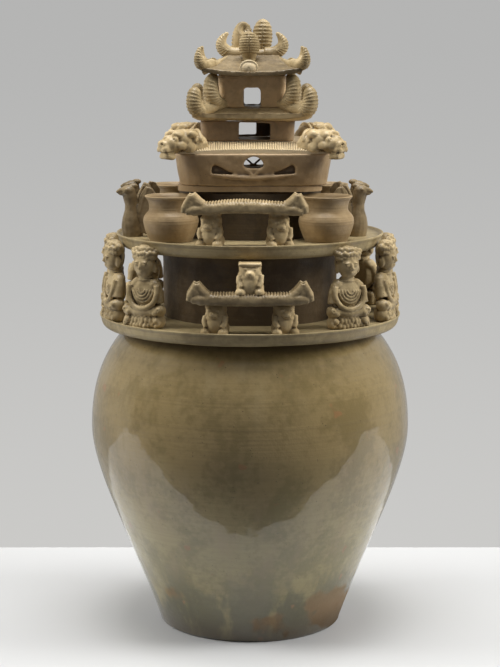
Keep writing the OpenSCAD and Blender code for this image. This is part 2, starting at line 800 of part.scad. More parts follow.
jar_body();
lower_ledge();
lower_neck();
upper_ledge();
upper_neck();
seated_figure_front_right();
seated_figure_front_side_right();
seated_figure_back_side_right();
seated_figure_back_right();
seated_figure_front_left();
seated_figure_front_side_left();
seated_figure_back_side_left();
seated_figure_back_left();
lower_gate_front_left_bear();
lower_gate_front_right_bear();
lower_gate_front_roof();
lower_gate_front_top_bear();
lower_gate_back_left_bear();
lower_gate_back_right_bear();
lower_gate_back_roof();
lower_gate_back_top_bear();
upper_gate_front_left_bear();
upper_gate_front_right_bear();
upper_gate_front_roof();
upper_gate_back_left_bear();
upper_gate_back_right_bear();
upper_gate_back_roof();
small_jar_front_right();
small_jar_back_right();
small_jar_front_left();
small_jar_back_left();
bird_front_right();
bird_back_right();
bird_front_left();
bird_back_left();
lid_plate();
first_storey();
first_roof();
beast_front_right();
beast_back_right();
beast_front_left();
beast_back_left();
second_storey();
second_roof();
second_hip_front_right();
second_hip_back_right();
second_hip_front_left();
second_hip_back_left();
third_storey();
top_roof();
main_ridge();
top_hip_front_right();
top_hip_back_right();
top_hip_front_left();
top_hip_back_left();
bud_front();
bud_back_right();
bud_back_left();
front_boss();
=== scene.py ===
"""Hunping funerary jar in worn green glaze: thrown jar, two ledges of moulded figures, pavilion lid.

Lengths are written in millimetres and turned into metres where they reach Blender. The front is -Y.
"""

import math
from contextlib import contextmanager

import bpy
import numpy as np
from mathutils import Matrix, Vector


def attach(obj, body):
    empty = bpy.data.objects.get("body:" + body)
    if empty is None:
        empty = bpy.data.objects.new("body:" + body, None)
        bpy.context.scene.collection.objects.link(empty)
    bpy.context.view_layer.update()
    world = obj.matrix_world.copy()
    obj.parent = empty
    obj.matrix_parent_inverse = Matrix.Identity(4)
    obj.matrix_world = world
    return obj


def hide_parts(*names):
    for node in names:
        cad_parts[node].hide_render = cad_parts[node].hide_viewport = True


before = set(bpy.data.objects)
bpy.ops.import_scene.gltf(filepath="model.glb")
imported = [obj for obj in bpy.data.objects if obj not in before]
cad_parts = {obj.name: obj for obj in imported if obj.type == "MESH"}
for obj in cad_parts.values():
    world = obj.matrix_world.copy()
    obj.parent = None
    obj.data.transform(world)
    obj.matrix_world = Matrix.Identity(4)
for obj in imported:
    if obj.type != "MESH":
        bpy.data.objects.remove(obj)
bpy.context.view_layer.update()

MM = 0.001

# Heights and radii shared with the solids
SHOULDER_Z = 228
LOWER_FLOOR_Z = 236
UPPER_LEDGE_Z = 288
UPPER_FLOOR_Z = 296.5
LOWER_LEDGE_R = 113
UPPER_LEDGE_R = 100
LOWER_NECK_R = 65
MOUTH_R = 58
BORE_R = 45.8
FIGURE_RING = 100.3
UPPER_GATE_RING = 87.8
SMALL_JAR_RING = 76.8
BIRD_RING = 88.8
FIRST_Z = 335.8
FIRST_ROOF_Z = 359.3
SECOND_Z = 366.8
SECOND_ROOF_Z = 381.8
THIRD_Z = 390.8
TOP_ROOF_Z = 414.3
RIDGE_Z = 429.3
BEAR_H = 21.5
BEAR_SPACING = 48
GATE_ROOF_T = 8

# How far a bear's head reaches into the roof that it carries
BEAR_SUNK = 1.6

# Radius at which a thrown bottom closes on the axis
POLE_R = 0.02

# Half width of the top roof, and of its flat top along x and y
TOP_HALF = 36.8
TOP_FLAT = (19, 4)

# Turns about the upright axis, in degrees
UPPER_GATE_TURN = -2.4
FIGURE_TURN = 22
BEAST_TURN = 13
CORNERS = {"front_right": 45, "back_right": 135, "front_left": -45, "back_left": -135}

# How far the hand-built tower stands to the right, and its first storey and roof beyond that
TOWER_SHIFT = 1.6
FIRST_SHIFT = 1

JAR_BODY = "jar"
LID_BODY = "pavilion_lid"


# Modelling helpers

def mm(values):
    return tuple(v * MM for v in values)


def sine(degrees):
    return math.sin(math.radians(degrees))


def cosine(degrees):
    return math.cos(math.radians(degrees))


def deselect():
    bpy.ops.object.select_all(action="DESELECT")


def only(obj):
    deselect()
    obj.select_set(True)
    bpy.context.view_layer.objects.active = obj


def drop(obj):
    bpy.data.objects.remove(obj)


def linked(obj):
    bpy.context.scene.collection.objects.link(obj)
    return obj


@contextmanager
def edit_mode(obj):
    """Opens a piece in edit mode with all of it selected."""
    only(obj)
    bpy.ops.object.mode_set(mode="EDIT")
    bpy.ops.mesh.select_all(action="SELECT")
    yield
    bpy.ops.object.mode_set(mode="OBJECT")


def ball(at, half_sizes, turn=(0, 0, 0)):
    """A ball of clay pressed to three half-sizes."""
    bpy.ops.mesh.primitive_uv_sphere_add(
        segments=24, ring_count=14, radius=MM, location=mm(at),
        rotation=[math.radians(a) for a in turn], scale=half_sizes)
    return bpy.context.object


def pair(at, half_sizes, turn=(0, 0, 0)):
    """The same ball on both sides of the middle."""
    mirrored_turn = (turn[0], -turn[1], -turn[2])
    return [ball(at, half_sizes, turn), ball((-at[0], at[1], at[2]), half_sizes, mirrored_turn)]


def block(at, size, edge):
    """A block of clay given by its middle and its three sizes, with rounded edges."""
    bpy.ops.mesh.primitive_cube_add(size=MM, location=mm(at), scale=size)
    made = bpy.context.object
    only(made)
    bpy.ops.object.transform_apply(location=False, rotation=False, scale=True)
    with edit_mode(made):
        bpy.ops.mesh.bevel(offset=edge * MM, segments=4, affect="EDGES")
    return made


def coil(path, sides=5):
    """A rolled coil of clay along points given as x, y, z, radius."""
    line = bpy.data.curves.new("coil", "CURVE")
    line.dimensions = "3D"
    line.bevel_depth = MM
    line.bevel_resolution = sides
    line.use_fill_caps = True
    spline = line.splines.new("POLY")
    spline.points.add(len(path) - 1)
    for point, (x, y, z, r) in zip(spline.points, path):
        point.co = (x * MM, y * MM, z * MM, 1)
        point.radius = r
    only(linked(bpy.data.objects.new("coil", line)))
    bpy.ops.object.convert(target="MESH")
    return bpy.context.object


def coil_pair(path):
    return [coil(path), coil([(-x, y, z, r) for x, y, z, r in path])]


def prism(outline, y0, y1):
    """A straight block: an outline of x, z points drawn from one depth to another."""
    count = len(outline)
    points = [mm((x, y, z)) for y in (y0, y1) for x, z in outline]
    faces = [list(range(count)), list(range(2 * count - 1, count - 1, -1))]
    faces += [[i, i + count, (i + 1) % count + count, (i + 1) % count] for i in range(count)]
    mesh = bpy.data.meshes.new("prism")
    mesh.from_pydata(points, [], faces)
    made = linked(bpy.data.objects.new("prism", mesh))
    with edit_mode(made):
        bpy.ops.mesh.normals_make_consistent(inside=False)
    return made


def flatten(parts):
    """One plain list out of parts and lists of parts."""
    if not isinstance(parts, list):
        return [parts]
    return [found for part in parts for found in flatten(part)]


def joined(parts):
    parts = flatten(parts)
    deselect()
    for part in parts:
        part.select_set(True)
    bpy.context.view_layer.objects.active = parts[0]
    bpy.ops.object.join()
    bpy.ops.object.transform_apply(location=True, rotation=True, scale=True)
    return bpy.context.object


def applied(obj, kind, **settings):
    """Adds a modifier with these settings and applies it."""
    only(obj)
    modifier = obj.modifiers.new(kind.lower(), kind)
    for key, value in settings.items():
        setattr(modifier, key, value)
    bpy.ops.object.modifier_apply(modifier=modifier.name)


def luted(obj, grain, softness):
    """Runs joined lumps of clay together under one skin, then softens it."""
    applied(obj, "REMESH", mode="VOXEL", voxel_size=grain * MM)
    applied(obj, "SMOOTH", factor=0.5, iterations=softness)
    return obj


def cut_flat(obj, **limits):
    """Slices off what lies past a flat bottom, back or top, and closes the cuts."""
    outward = {"bottom": (0, 0, -1), "back": (0, 1, 0), "top": (0, 0, 1)}
    for side, limit in limits.items():
        with edit_mode(obj):
            bpy.ops.mesh.bisect(plane_co=mm((0, limit, limit)), plane_no=outward[side],
                                use_fill=True, clear_outer=True)


def reshaped(obj, move):
    """Moves every point by a rule that takes and gives x, y, z in millimetres."""
    for vertex in obj.data.vertices:
        x, y, z = vertex.co / MM
        vertex.co = Vector(move(x, y, z)) * MM
    obj.data.update()


def pressed(obj, marks):
    """Presses a round tool into the skin: each mark is a point, a radius and a depth."""
    normals = [v.normal.copy() for v in obj.data.vertices]
    for at, radius, depth in marks:
        centre = Vector(at) * MM
        reach = radius * MM
        for vertex, normal in zip(obj.data.vertices, normals):
            far = (vertex.co - centre).length / reach
            if far < 1:
                vertex.co -= normal * depth * MM * (1 - far * far) ** 2
    obj.data.update()


def both_sides(marks):
    return marks + [((-at[0], at[1], at[2]), radius, depth) for at, radius, depth in marks]


def turned(profile, steps):
    """A piece thrown on the wheel: a section of r, z points spun round the upright axis."""
    deselect()
    bpy.ops.mesh.primitive_plane_add(size=MM)
    made = bpy.context.object
    with edit_mode(made):
        bpy.ops.mesh.merge(type="CENTER")
        r, z = profile[0]
        bpy.ops.transform.translate(value=(r * MM, 0, z * MM))
        for next_r, next_z in profile[1:]:
            step = ((next_r - r) * MM, 0, (next_z - z) * MM)
            bpy.ops.mesh.extrude_region_move(TRANSFORM_OT_translate={"value": step})
            r, z = next_r, next_z
        bpy.ops.mesh.select_all(action="SELECT")
        bpy.ops.mesh.spin(steps=steps, angle=2 * math.pi, center=(0, 0, 0), axis=(0, 0, 1),
                          use_auto_merge=True)
        bpy.ops.mesh.select_all(action="SELECT")
        bpy.ops.mesh.remove_doubles(threshold=0.01 * MM)
        bpy.ops.mesh.normals_make_consistent(inside=False)
    return made


def uneven(obj, *waves):
    """Lets a surface wander as hand work does: each wave is a size, an amount and a seed."""
    for size, amount, seed in waves:
        cloud = bpy.data.textures.new("hand_work", "CLOUDS")
        cloud.noise_scale = size * MM
        cloud.noise_depth = 1
        drift = linked(bpy.data.objects.new("drift", None))
        drift.location = (seed * 0.37, seed * 0.21, seed * 0.53)
        bpy.context.view_layer.update()
        applied(obj, "DISPLACE", texture=cloud, texture_coords="OBJECT", texture_coords_object=drift,
                strength=amount * MM, mid_level=0.5)
        drop(drift)
        bpy.data.textures.remove(cloud)


def point_values(mesh, what):
    values = np.empty(len(mesh.vertices) * 3)
    mesh.vertices.foreach_get(what, values)
    return values


def mark_recesses(obj, rounds):
    """Stores how deep each point lies below the smoothed skin, for glaze that pools in hollows, for painted
    shade there, and for painted highlight on raised edges.
    """
    here = point_values(obj.data, "co")
    normals = point_values(obj.data, "normal")
    twin = obj.copy()
    twin.data = obj.data.copy()
    applied(linked(twin), "SMOOTH", factor=0.5, iterations=rounds)
    smooth = point_values(twin.data, "co")
    drop(twin)
    depth = ((smooth - here) * normals).reshape(-1, 3).sum(axis=1) / MM
    store = obj.data.attributes.new("recess", "FLOAT", "POINT")
    store.data.foreach_set("value", depth.astype(np.float32))


def coat(obj, material):
    obj.data.materials.clear()
    obj.data.materials.append(material)


def glaze_over(obj, material, rounds=24, angle=60):
    """Glazes a piece, and marks its hollows first unless rounds is 0."""
    if rounds:
        mark_recesses(obj, rounds)
    only(obj)
    bpy.ops.object.shade_smooth_by_angle(angle=math.radians(angle))
    coat(obj, material)


def stand(model, name, node, body, slot, turn=0, ring=0, z=0, shift=0, spin=0, size=1):
    """Sets a copy of a model at its place round the jar, ties it to its body and hides the solid of its
    node.
    """
    copy = model.copy()
    copy.data = model.data.copy()
    linked(copy)
    copy.name = name
    copy.data.name = name
    place = Matrix.Rotation(math.radians(turn), 4, "Z") @ Matrix.Translation(mm((shift, -ring, z)))
    place = place @ Matrix.Rotation(math.radians(spin), 4, "Z") @ Matrix.Scale(size, 4)
    if body == LID_BODY:
        place = Matrix.Translation(mm((TOWER_SHIFT, 0, 0))) @ place
    copy.matrix_world = place
    only(copy)
    bpy.ops.object.transform_apply(location=True, rotation=True, scale=True)
    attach(copy, body)
    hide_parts(node)


def stand_once(model, name, node, body, slot, **place):
    stand(model, name, node, body, slot, **place)
    drop(model)


# Glaze materials

def feed(tree, socket, value):
    """Gives a socket a number, a colour or the output of another node."""
    if isinstance(value, (int, float)):
        socket.default_value = value
    elif isinstance(value, tuple):
        socket.default_value = (*value, 1)
    else:
        tree.links.new(value, socket)


def new_node(tree, kind, inputs=None, **settings):
    """A node with these settings and inputs, laid out in columns of six."""
    node = tree.nodes.new(kind)
    column, row = divmod(len(tree.nodes), 6)
    node.location = (220 * column, -220 * row)
    for key, value in settings.items():
        setattr(node, key, value)
    for key, value in (inputs or {}).items():
        feed(tree, node.inputs[key], value)
    return node


def reckon(tree, operation, first, second):
    return new_node(tree, "ShaderNodeMath", {0: first, 1: second}, operation=operation).outputs[0]


def plus(tree, first, second):
    return reckon(tree, "ADD", first, second)


def minus(tree, first, second):
    return reckon(tree, "SUBTRACT", first, second)


def times(tree, first, second):
    return reckon(tree, "MULTIPLY", first, second)


def ramp(tree, value, low, high):
    """0 at low and before it, 1 at high and past it, eased between them."""
    inputs = {"Value": value, "From Min": low, "From Max": high}
    return new_node(tree, "ShaderNodeMapRange", inputs, interpolation_type="SMOOTHSTEP").outputs["Result"]


def mixed(tree, share, first, second):
    inputs = {0: share, 6: first, 7: second}
    return new_node(tree, "ShaderNodeMix", inputs, data_type="RGBA").outputs[2]


def noise(tree, where, scale, detail, rough=0.55):
    inputs = {"Vector": where, "Scale": scale, "Detail": detail, "Roughness": rough}
    return new_node(tree, "ShaderNodeTexNoise", inputs).outputs["Fac"]


def upright(tree, where):
    return new_node(tree, "ShaderNodeSeparateXYZ", {0: where}).outputs["Z"]


def bumped(tree, height, strength, distance):
    """The normal of a surface that a height of 1 raises by this many millimetres."""
    inputs = {"Height": height, "Strength": strength, "Distance": distance * MM}
    return new_node(tree, "ShaderNodeBump", inputs).outputs["Normal"]


def new_group(name, inputs, outputs):
    """An empty node group with named sockets of the given kinds."""
    tree = bpy.data.node_groups.new(name, "ShaderNodeTree")
    for direction, sockets in (("INPUT", inputs), ("OUTPUT", outputs)):
        for label, kind in sockets.items():
            tree.interface.new_socket(label, in_out=direction, socket_type="NodeSocket" + kind)
    return tree, new_node(tree, "NodeGroupInput").outputs, new_node(tree, "NodeGroupOutput").inputs


def use_group(tree, group, **inputs):
    return new_node(tree, "ShaderNodeGroup", inputs, node_tree=group).outputs


def glaze_group():
    """Ash glaze: clouded, pale on raised edges from thin glaze and painted highlight, dark in hollows from
    pooled glaze and painted shade, with iron specks and pits.
    """
    tree, given, out = new_group(
        "ash_glaze",
        {"Vector": "Vector", "Recess": "Float", "Thin": "Color", "Thick": "Color", "Pooled": "Color",
         "Specks": "Float"},
        {"Color": "Color", "Roughness": "Float", "Height": "Float"})
    where = given["Vector"]
    fine = noise(tree, where, 190, 3)
    thickness = ramp(tree, plus(tree, noise(tree, where, 28, 4), times(tree, fine, 0.5)), 0.62, 0.9)
    # Raised edges take the thin colour as thin glaze and as painted highlight; hollows take the dark colour
    # as pooled glaze and as painted shade
    raised = ramp(tree, given["Recess"], -0.05, -0.4)
    hollow = ramp(tree, given["Recess"], 0.02, 0.32)
    colour = mixed(tree, thickness, given["Thin"], given["Thick"])
    colour = mixed(tree, times(tree, raised, 0.9), colour, given["Thin"])
    colour = mixed(tree, times(tree, hollow, 0.92), colour, given["Pooled"])

    cells = new_node(tree, "ShaderNodeTexVoronoi", {"Vector": where, "Scale": 420})
    dots = ramp(tree, cells.outputs["Distance"], 0.2, 0.08)
    scatter = ramp(tree, noise(tree, where, 120, 2), 0.56, 0.66)
    specks = times(tree, times(tree, dots, scatter), given["Specks"])
    tree.links.new(mixed(tree, specks, colour, (0.05, 0.03, 0.015)), out["Color"])

    dull = ramp(tree, noise(tree, where, 60, 5, 0.7), 0.35, 0.7)
    rough = plus(tree, times(tree, dull, 0.22), 0.4)
    tree.links.new(plus(tree, rough, times(tree, raised, 0.12)), out["Roughness"])
    pits = minus(tree, noise(tree, where, 420, 3), specks)
    tree.links.new(plus(tree, pits, times(tree, fine, 0.8)), out["Height"])
    return tree


def wheel_group():
    """Throwing lines: uneven horizontal grooves left by the potter's fingers."""
    tree, given, out = new_group("throwing_lines", {"Vector": "Vector", "Spacing": "Float"},
                                 {"Height": "Float", "Tone": "Float"})
    where = given["Vector"]
    level = plus(tree, upright(tree, where), times(tree, noise(tree, where, 9, 2), 4 * MM))
    inputs = {"W": times(tree, level, given["Spacing"]), "Scale": 1, "Detail": 3}
    line = new_node(tree, "ShaderNodeTexNoise", inputs, noise_dimensions="1D").outputs["Fac"]
    tree.links.new(line, out["Height"])
    tree.links.new(ramp(tree, line, 0.35, 0.7), out["Tone"])
    return tree


ASH_GLAZE = glaze_group()
THROWING = wheel_group()


def new_material(name):
    """A new material, its node tree and the place of each point of the piece."""
    material = bpy.data.materials.new(name)
    material.use_nodes = True
    tree = material.node_tree
    return material, tree, new_node(tree, "ShaderNodeTexCoord").outputs["Object"]


def finish_with(tree, inputs):
    """Feeds the shader of a material."""
    for key, value in inputs.items():
        feed(tree, tree.nodes["Principled BSDF"].inputs[key], value)


def glazed(name, thin, thick, pool_and_shade, specks=0.4, lines=0, spacing=0):
    """A glaze of three colours, with throwing lines where the clay was thrown."""
    material, tree, where = new_material(name)
    recess = new_node(tree, "ShaderNodeAttribute", attribute_name="recess").outputs["Fac"]
    glaze = use_group(tree, ASH_GLAZE, Vector=where, Recess=recess, Thin=thin, Thick=thick, Pooled=pool_and_shade,
                      Specks=specks)
    colour, height = glaze["Color"], glaze["Height"]
    if lines:
        wheel = use_group(tree, THROWING, Vector=where, Spacing=spacing)
        height = plus(tree, height, times(tree, wheel["Height"], lines))
        colour = mixed(tree, times(tree, wheel["Tone"], 0.25), colour, thick)
    finish_with(tree, {"Base Color": colour, "Roughness": glaze["Roughness"], "Coat Weight": 0.16,
                       "Coat Roughness": 0.3, "Normal": bumped(tree, height, 0.6, 0.4)})
    return material


def jar_glazed():
    """Glaze of the big jar: ochre above, olive on the belly, grey-green and bare in places near the foot;
    the lower belly is paler partly from its glaze and partly as a painted reflection, and painted shade
    darkens the top of the shoulder and the foot.
    """
    material, tree, where = new_material("jar_glaze")
    height = upright(tree, where)
    runs = new_node(tree, "ShaderNodeMapping", {"Vector": where})
    runs.inputs["Scale"].default_value = (1, 1, 0.22)
    streaks = noise(tree, runs.outputs[0], 42, 4)
    level = plus(tree, height, times(tree, minus(tree, streaks, 0.5), 120 * MM))

    pool_and_shade = (0.07, 0.05, 0.025)
    glaze = use_group(tree, ASH_GLAZE, Vector=where, Thin=(0.285, 0.206, 0.084), Thick=(0.205, 0.147, 0.053),
                      Pooled=pool_and_shade, Specks=1)
    # The low glaze is paler and greener: partly the glaze there, partly a painted reflection of the pale
    # table on the lower belly
    low = use_group(tree, ASH_GLAZE, Vector=where, Thin=(0.33, 0.272, 0.115), Thick=(0.22, 0.184, 0.068),
                    Pooled=pool_and_shade, Specks=0.8)
    colour = mixed(tree, ramp(tree, level, 160 * MM, 50 * MM), glaze["Color"], low["Color"])

    wheel = use_group(tree, THROWING, Vector=where, Spacing=420)
    colour = mixed(tree, times(tree, wheel["Tone"], 0.14), colour, (0.17, 0.122, 0.055))
    veil = times(tree, ramp(tree, streaks, 0.52, 0.7), 0.45)
    colour = mixed(tree, veil, colour, (0.32, 0.245, 0.12))

    near_foot = ramp(tree, height, 75 * MM, 18 * MM)
    green = ramp(tree, plus(tree, streaks, times(tree, near_foot, 0.2)), 0.54, 0.68)
    green = times(tree, green, near_foot)
    colour = mixed(tree, times(tree, green, 0.8), colour, (0.075, 0.072, 0.036))
    patches = plus(tree, noise(tree, where, 21, 3), times(tree, near_foot, 0.16))
    bare = times(tree, ramp(tree, patches, 0.69, 0.76), near_foot)
    colour = mixed(tree, times(tree, bare, 0.6), colour, (0.32, 0.2, 0.115))
    rust = times(tree, ramp(tree, noise(tree, where, 55, 2), 0.69, 0.74), 0.7)
    colour = mixed(tree, rust, colour, (0.3, 0.15, 0.06))
    # Painted shade: dark bands at the top of the shoulder under the ledge, and round the bottom of the foot
    # where it meets the table
    rim = ramp(tree, height, 219 * MM, 226.5 * MM)
    foot_shade = ramp(tree, height, 26 * MM, 0)
    edges = times(tree, reckon(tree, "MAXIMUM", rim, foot_shade), 0.75)
    colour = mixed(tree, edges, colour, (0.06, 0.04, 0.02))

    relief = plus(tree, glaze["Height"], times(tree, wheel["Height"], 0.8))
    relief = minus(tree, relief, times(tree, bare, 0.8))
    rough = plus(tree, times(tree, glaze["Roughness"], 0.75), times(tree, bare, 0.3))
    waves = noise(tree, where, 42, 2, 0.45)
    finish_with(tree, {"Base Color": colour, "Roughness": rough, "Normal": bumped(tree, relief, 0.35, 0.4),
                       "Coat Weight": minus(tree, 1, bare), "Coat Roughness": 0.07, "Coat IOR": 1.56,
                       "Coat Normal": bumped(tree, waves, 0.5, 2)})
    return material


FIGURE_GLAZE = glazed("figure_glaze", (0.47, 0.36, 0.195), (0.26, 0.19, 0.092), (0.06, 0.038, 0.017))
# Painted light: a paler copy of the figure glaze that brightens the bears and the roof beasts where the gate
# roofs shade the bears
PAINTED_LIGHT_BEAR_GLAZE = glazed("painted_light_bear_glaze", (0.58, 0.445, 0.245), (0.38, 0.28, 0.14), (0.1, 0.065, 0.03))
ROOF_GLAZE = glazed("roof_glaze", (0.44, 0.33, 0.176), (0.26, 0.19, 0.095), (0.08, 0.055, 0.027))
# Painted shade: a darker copy of the roof glaze that dims the lower gate roofs
PAINTED_SHADE_ROOF_GLAZE = glazed("painted_shade_roof_glaze", (0.32, 0.24, 0.128), (0.19, 0.138, 0.069), (0.06, 0.04, 0.02))
# Painted shade: a darker copy of the roof glaze that dims the top roof, nearest the overhead lamp; the birds
# are glazed with it too
DARK_PAINTED_SHADE_GLAZE = glazed("dark_painted_shade_glaze", (0.25, 0.184, 0.097), (0.145, 0.104, 0.052), (0.06, 0.041, 0.02))
# Painted light: a much paler copy of the roof glaze that brightens the first roof's tiles, which lie in the
# shade of the upper storeys, and the eave boss
PAINTED_LIGHT_TILE_GLAZE = glazed("painted_light_tile_glaze", (0.7, 0.565, 0.358), (0.555, 0.434, 0.255), (0.18, 0.127, 0.064))
WALL_GLAZE = glazed("wall_glaze", (0.44, 0.31, 0.172), (0.31, 0.212, 0.11), (0.09, 0.058, 0.03), 0.5)
# Painted shade: a darker copy of the wall glaze for the second storey, standing in for the shadow of the
# eaves
PAINTED_SHADE_WALL_GLAZE = glazed("painted_shade_wall_glaze", (0.29, 0.2, 0.113), (0.2, 0.137, 0.073), (0.06, 0.04, 0.02), 0.5)
# Painted light: a paler copy of the wall glaze that brightens the third storey
PAINTED_LIGHT_WALL_GLAZE = glazed("painted_light_wall_glaze", (0.58, 0.41, 0.22), (0.41, 0.28, 0.142), (0.12, 0.077, 0.04),
                         specks=0.5)
LEDGE_GLAZE = glazed("ledge_glaze", (0.4, 0.312, 0.162), (0.25, 0.19, 0.095), (0.07, 0.05, 0.024),
                     specks=0.5, lines=0.6, spacing=700)
# Painted shade: a very dark glaze for the lower neck, standing in for the shade between the ledges
PAINTED_SHADE_NECK_GLAZE = glazed("painted_shade_neck_glaze", (0.13, 0.092, 0.052), (0.08, 0.055, 0.03), (0.04, 0.028, 0.016),
                    lines=0.8, spacing=500)
SMALL_JAR_GLAZE = glazed("small_jar_glaze", (0.37, 0.265, 0.14), (0.28, 0.19, 0.092), (0.1, 0.062, 0.028),
                         lines=1.2, spacing=900)
# Painted shade: an even darker glaze for the upper neck under the pavilion
SHADED_GLAZE = glazed("shaded_glaze", (0.085, 0.06, 0.033), (0.05, 0.035, 0.019), (0.03, 0.02, 0.01),
                      lines=0.8, spacing=500)
JAR_GLAZE = jar_glazed()


# The jar, its ledges and its neck

def bezier(a, b, c, d, t):
    s = 1 - t
    return tuple(s ** 3 * p + 3 * s * s * t * q + 3 * s * t * t * u + t ** 3 * v
                 for p, q, u, v in zip(a, b, c, d))


def curve(a, b, c, d, steps):
    return [bezier(a, b, c, d, i / steps) for i in range(steps + 1)]


def jar_section():
    foot_r, foot_z, belly_r, belly_z = 69, 3, 119.75, 152
    hollow_r = belly_r - 7
    lower = curve((foot_r, foot_z), (foot_r + 0.43 * (belly_r - foot_r), foot_z + 0.42 * (belly_z - foot_z)),
                  (belly_r, foot_z + 0.77 * (belly_z - foot_z)), (belly_r, belly_z), 80)
    upper = curve((belly_r, belly_z), (belly_r, belly_z + 33), (111.2, 206), (94, 226), 50)
    outer = [(66.5, 0), (67.6, 0.3), (68.5, 1.2)] + lower + upper[1:] + [(93.4, 227.3), (92, SHOULDER_Z)]
    inner = [(MOUTH_R, SHOULDER_Z), (MOUTH_R, 221), (80, 221)]
    inner += curve((80, 221), (102, 206), (hollow_r, 185), (hollow_r, belly_z), 14)[1:]
    inner += curve((hollow_r, belly_z), (hollow_r, 119), (86, 69), (62, 9), 14)[1:]
    return [(POLE_R, 0)] + outer + inner + [(POLE_R, 9)]


def make_jar():
    jar = turned(jar_section(), 192)
    uneven(jar, (60, 0.5, 3))
    reshaped(jar, lambda x, y, z: (x, y, 0 if z < 0.25 else z))
    glaze_over(jar, JAR_GLAZE, 8, 50)
    stand_once(jar, "glazed_jar", "jar_body", JAR_BODY, "jar_glaze")


def ledge_section(inner, outer, thick, flare, lip):
    under = curve((outer - flare, 0), (outer - 0.55 * flare, 0.06 * thick),
                  (outer - 0.3 * flare, 0.35 * thick), (outer - 0.22 * flare, 0.7 * thick), 10)
    under += [(outer - 0.16 * flare, 0.9 * thick), (outer - 0.03 * flare, thick + 0.15 * lip)]
    rim = curve((outer, thick + 0.45 * lip), (outer + 0.05, thick + lip), (outer - 0.3 * lip, thick + lip),
                (outer - 0.8 * lip, thick + 0.85 * lip), 6)
    floor = curve((outer - 0.8 * lip, thick + 0.85 * lip), (outer - 1.3 * lip, thick + 0.5 * lip),
                  (outer - 1.6 * lip, thick), (outer - 2.2 * lip, thick), 6)[1:]
    shelf = [(outer - 2.2 * lip - i * (outer - 2.2 * lip - inner) / 8, thick) for i in range(1, 9)]
    return [(inner, 0)] + under + rim + floor + shelf + [(inner, 0)]


def make_ledges():
    for node, inner, outer, thick, flare, z, seed in (
            ("lower_ledge", LOWER_NECK_R + 0.4, LOWER_LEDGE_R, 8, 5, SHOULDER_Z, 7),
            ("upper_ledge", BORE_R, UPPER_LEDGE_R, 8.5, 6, UPPER_LEDGE_Z, 9)):
        ledge = turned(ledge_section(inner, outer - 0.25, thick, flare, 1.6), 180)
        uneven(ledge, (45, 0.7, seed))
        glaze_over(ledge, LEDGE_GLAZE, 10, 50)
        stand_once(ledge, node + "_ring", node, JAR_BODY, "ledge_glaze", z=z)


def make_neck():
    top = 59.8
    section = [(MOUTH_R, 0), (LOWER_NECK_R, 0)]
    section += [(LOWER_NECK_R, 6 * i) for i in range(1, 9)]
    section += curve((LOWER_NECK_R, 48), (LOWER_NECK_R, 54), (LOWER_NECK_R + 2, 58),
                     (LOWER_NECK_R + 5, top), 6)[1:]
    section += [(MOUTH_R, top), (MOUTH_R, 0)]
    neck = turned(section, 128)
    uneven(neck, (40, 0.5, 11))
    glaze_over(neck, PAINTED_SHADE_NECK_GLAZE, 0, 40)
    stand_once(neck, "neck_wall", "lower_neck", JAR_BODY, "ledge_glaze", z=SHOULDER_Z)


def make_small_jars():
    outside = curve((15.2, 0), (16.6, 3), (19.4, 9), (20, 14), 10)
    outside += curve((20, 14), (20.2, 17.6), (18.6, 19.4), (16.6, 21.4), 8)[1:]
    outside += curve((16.6, 21.4), (15.4, 22.8), (15.5, 25.6), (16.6, 28.6), 7)[1:]
    outside += [(17.7, 30.6), (18.7, 31.6), (19, 32.4), (18.6, 33), (17.6, 32.8)]
    inside = [(16, 31), (14, 28), (12.9, 25), (13.3, 22.4)]
    inside += curve((13.3, 22.4), (16.4, 19), (17, 16), (16.8, 12), 6)[1:] + [(14.4, 5), (12, 3.4)]
    jar = turned([(POLE_R, 0)] + outside + inside + [(POLE_R, 3.2)], 72)
    uneven(jar, (25, 0.6, 5))
    glaze_over(jar, SMALL_JAR_GLAZE, 8, 40)
    for corner, angle in zip(CORNERS, (45.6, 132, -48, -132)):
        node = "small_jar_" + corner
        stand(jar, "glazed_" + node, node, JAR_BODY, "ledge_glaze", angle, SMALL_JAR_RING, UPPER_FLOOR_Z)
    drop(jar)


# Moulded figures

def chest_y(x, z):
    """Front of the chest at a place, from the egg that the trunk is made of."""
    inside = 1 - (x / 11.5) ** 2 - ((z - 24) / 13) ** 2
    return 0.5 - 7.4 * math.sqrt(max(inside, 0.05))


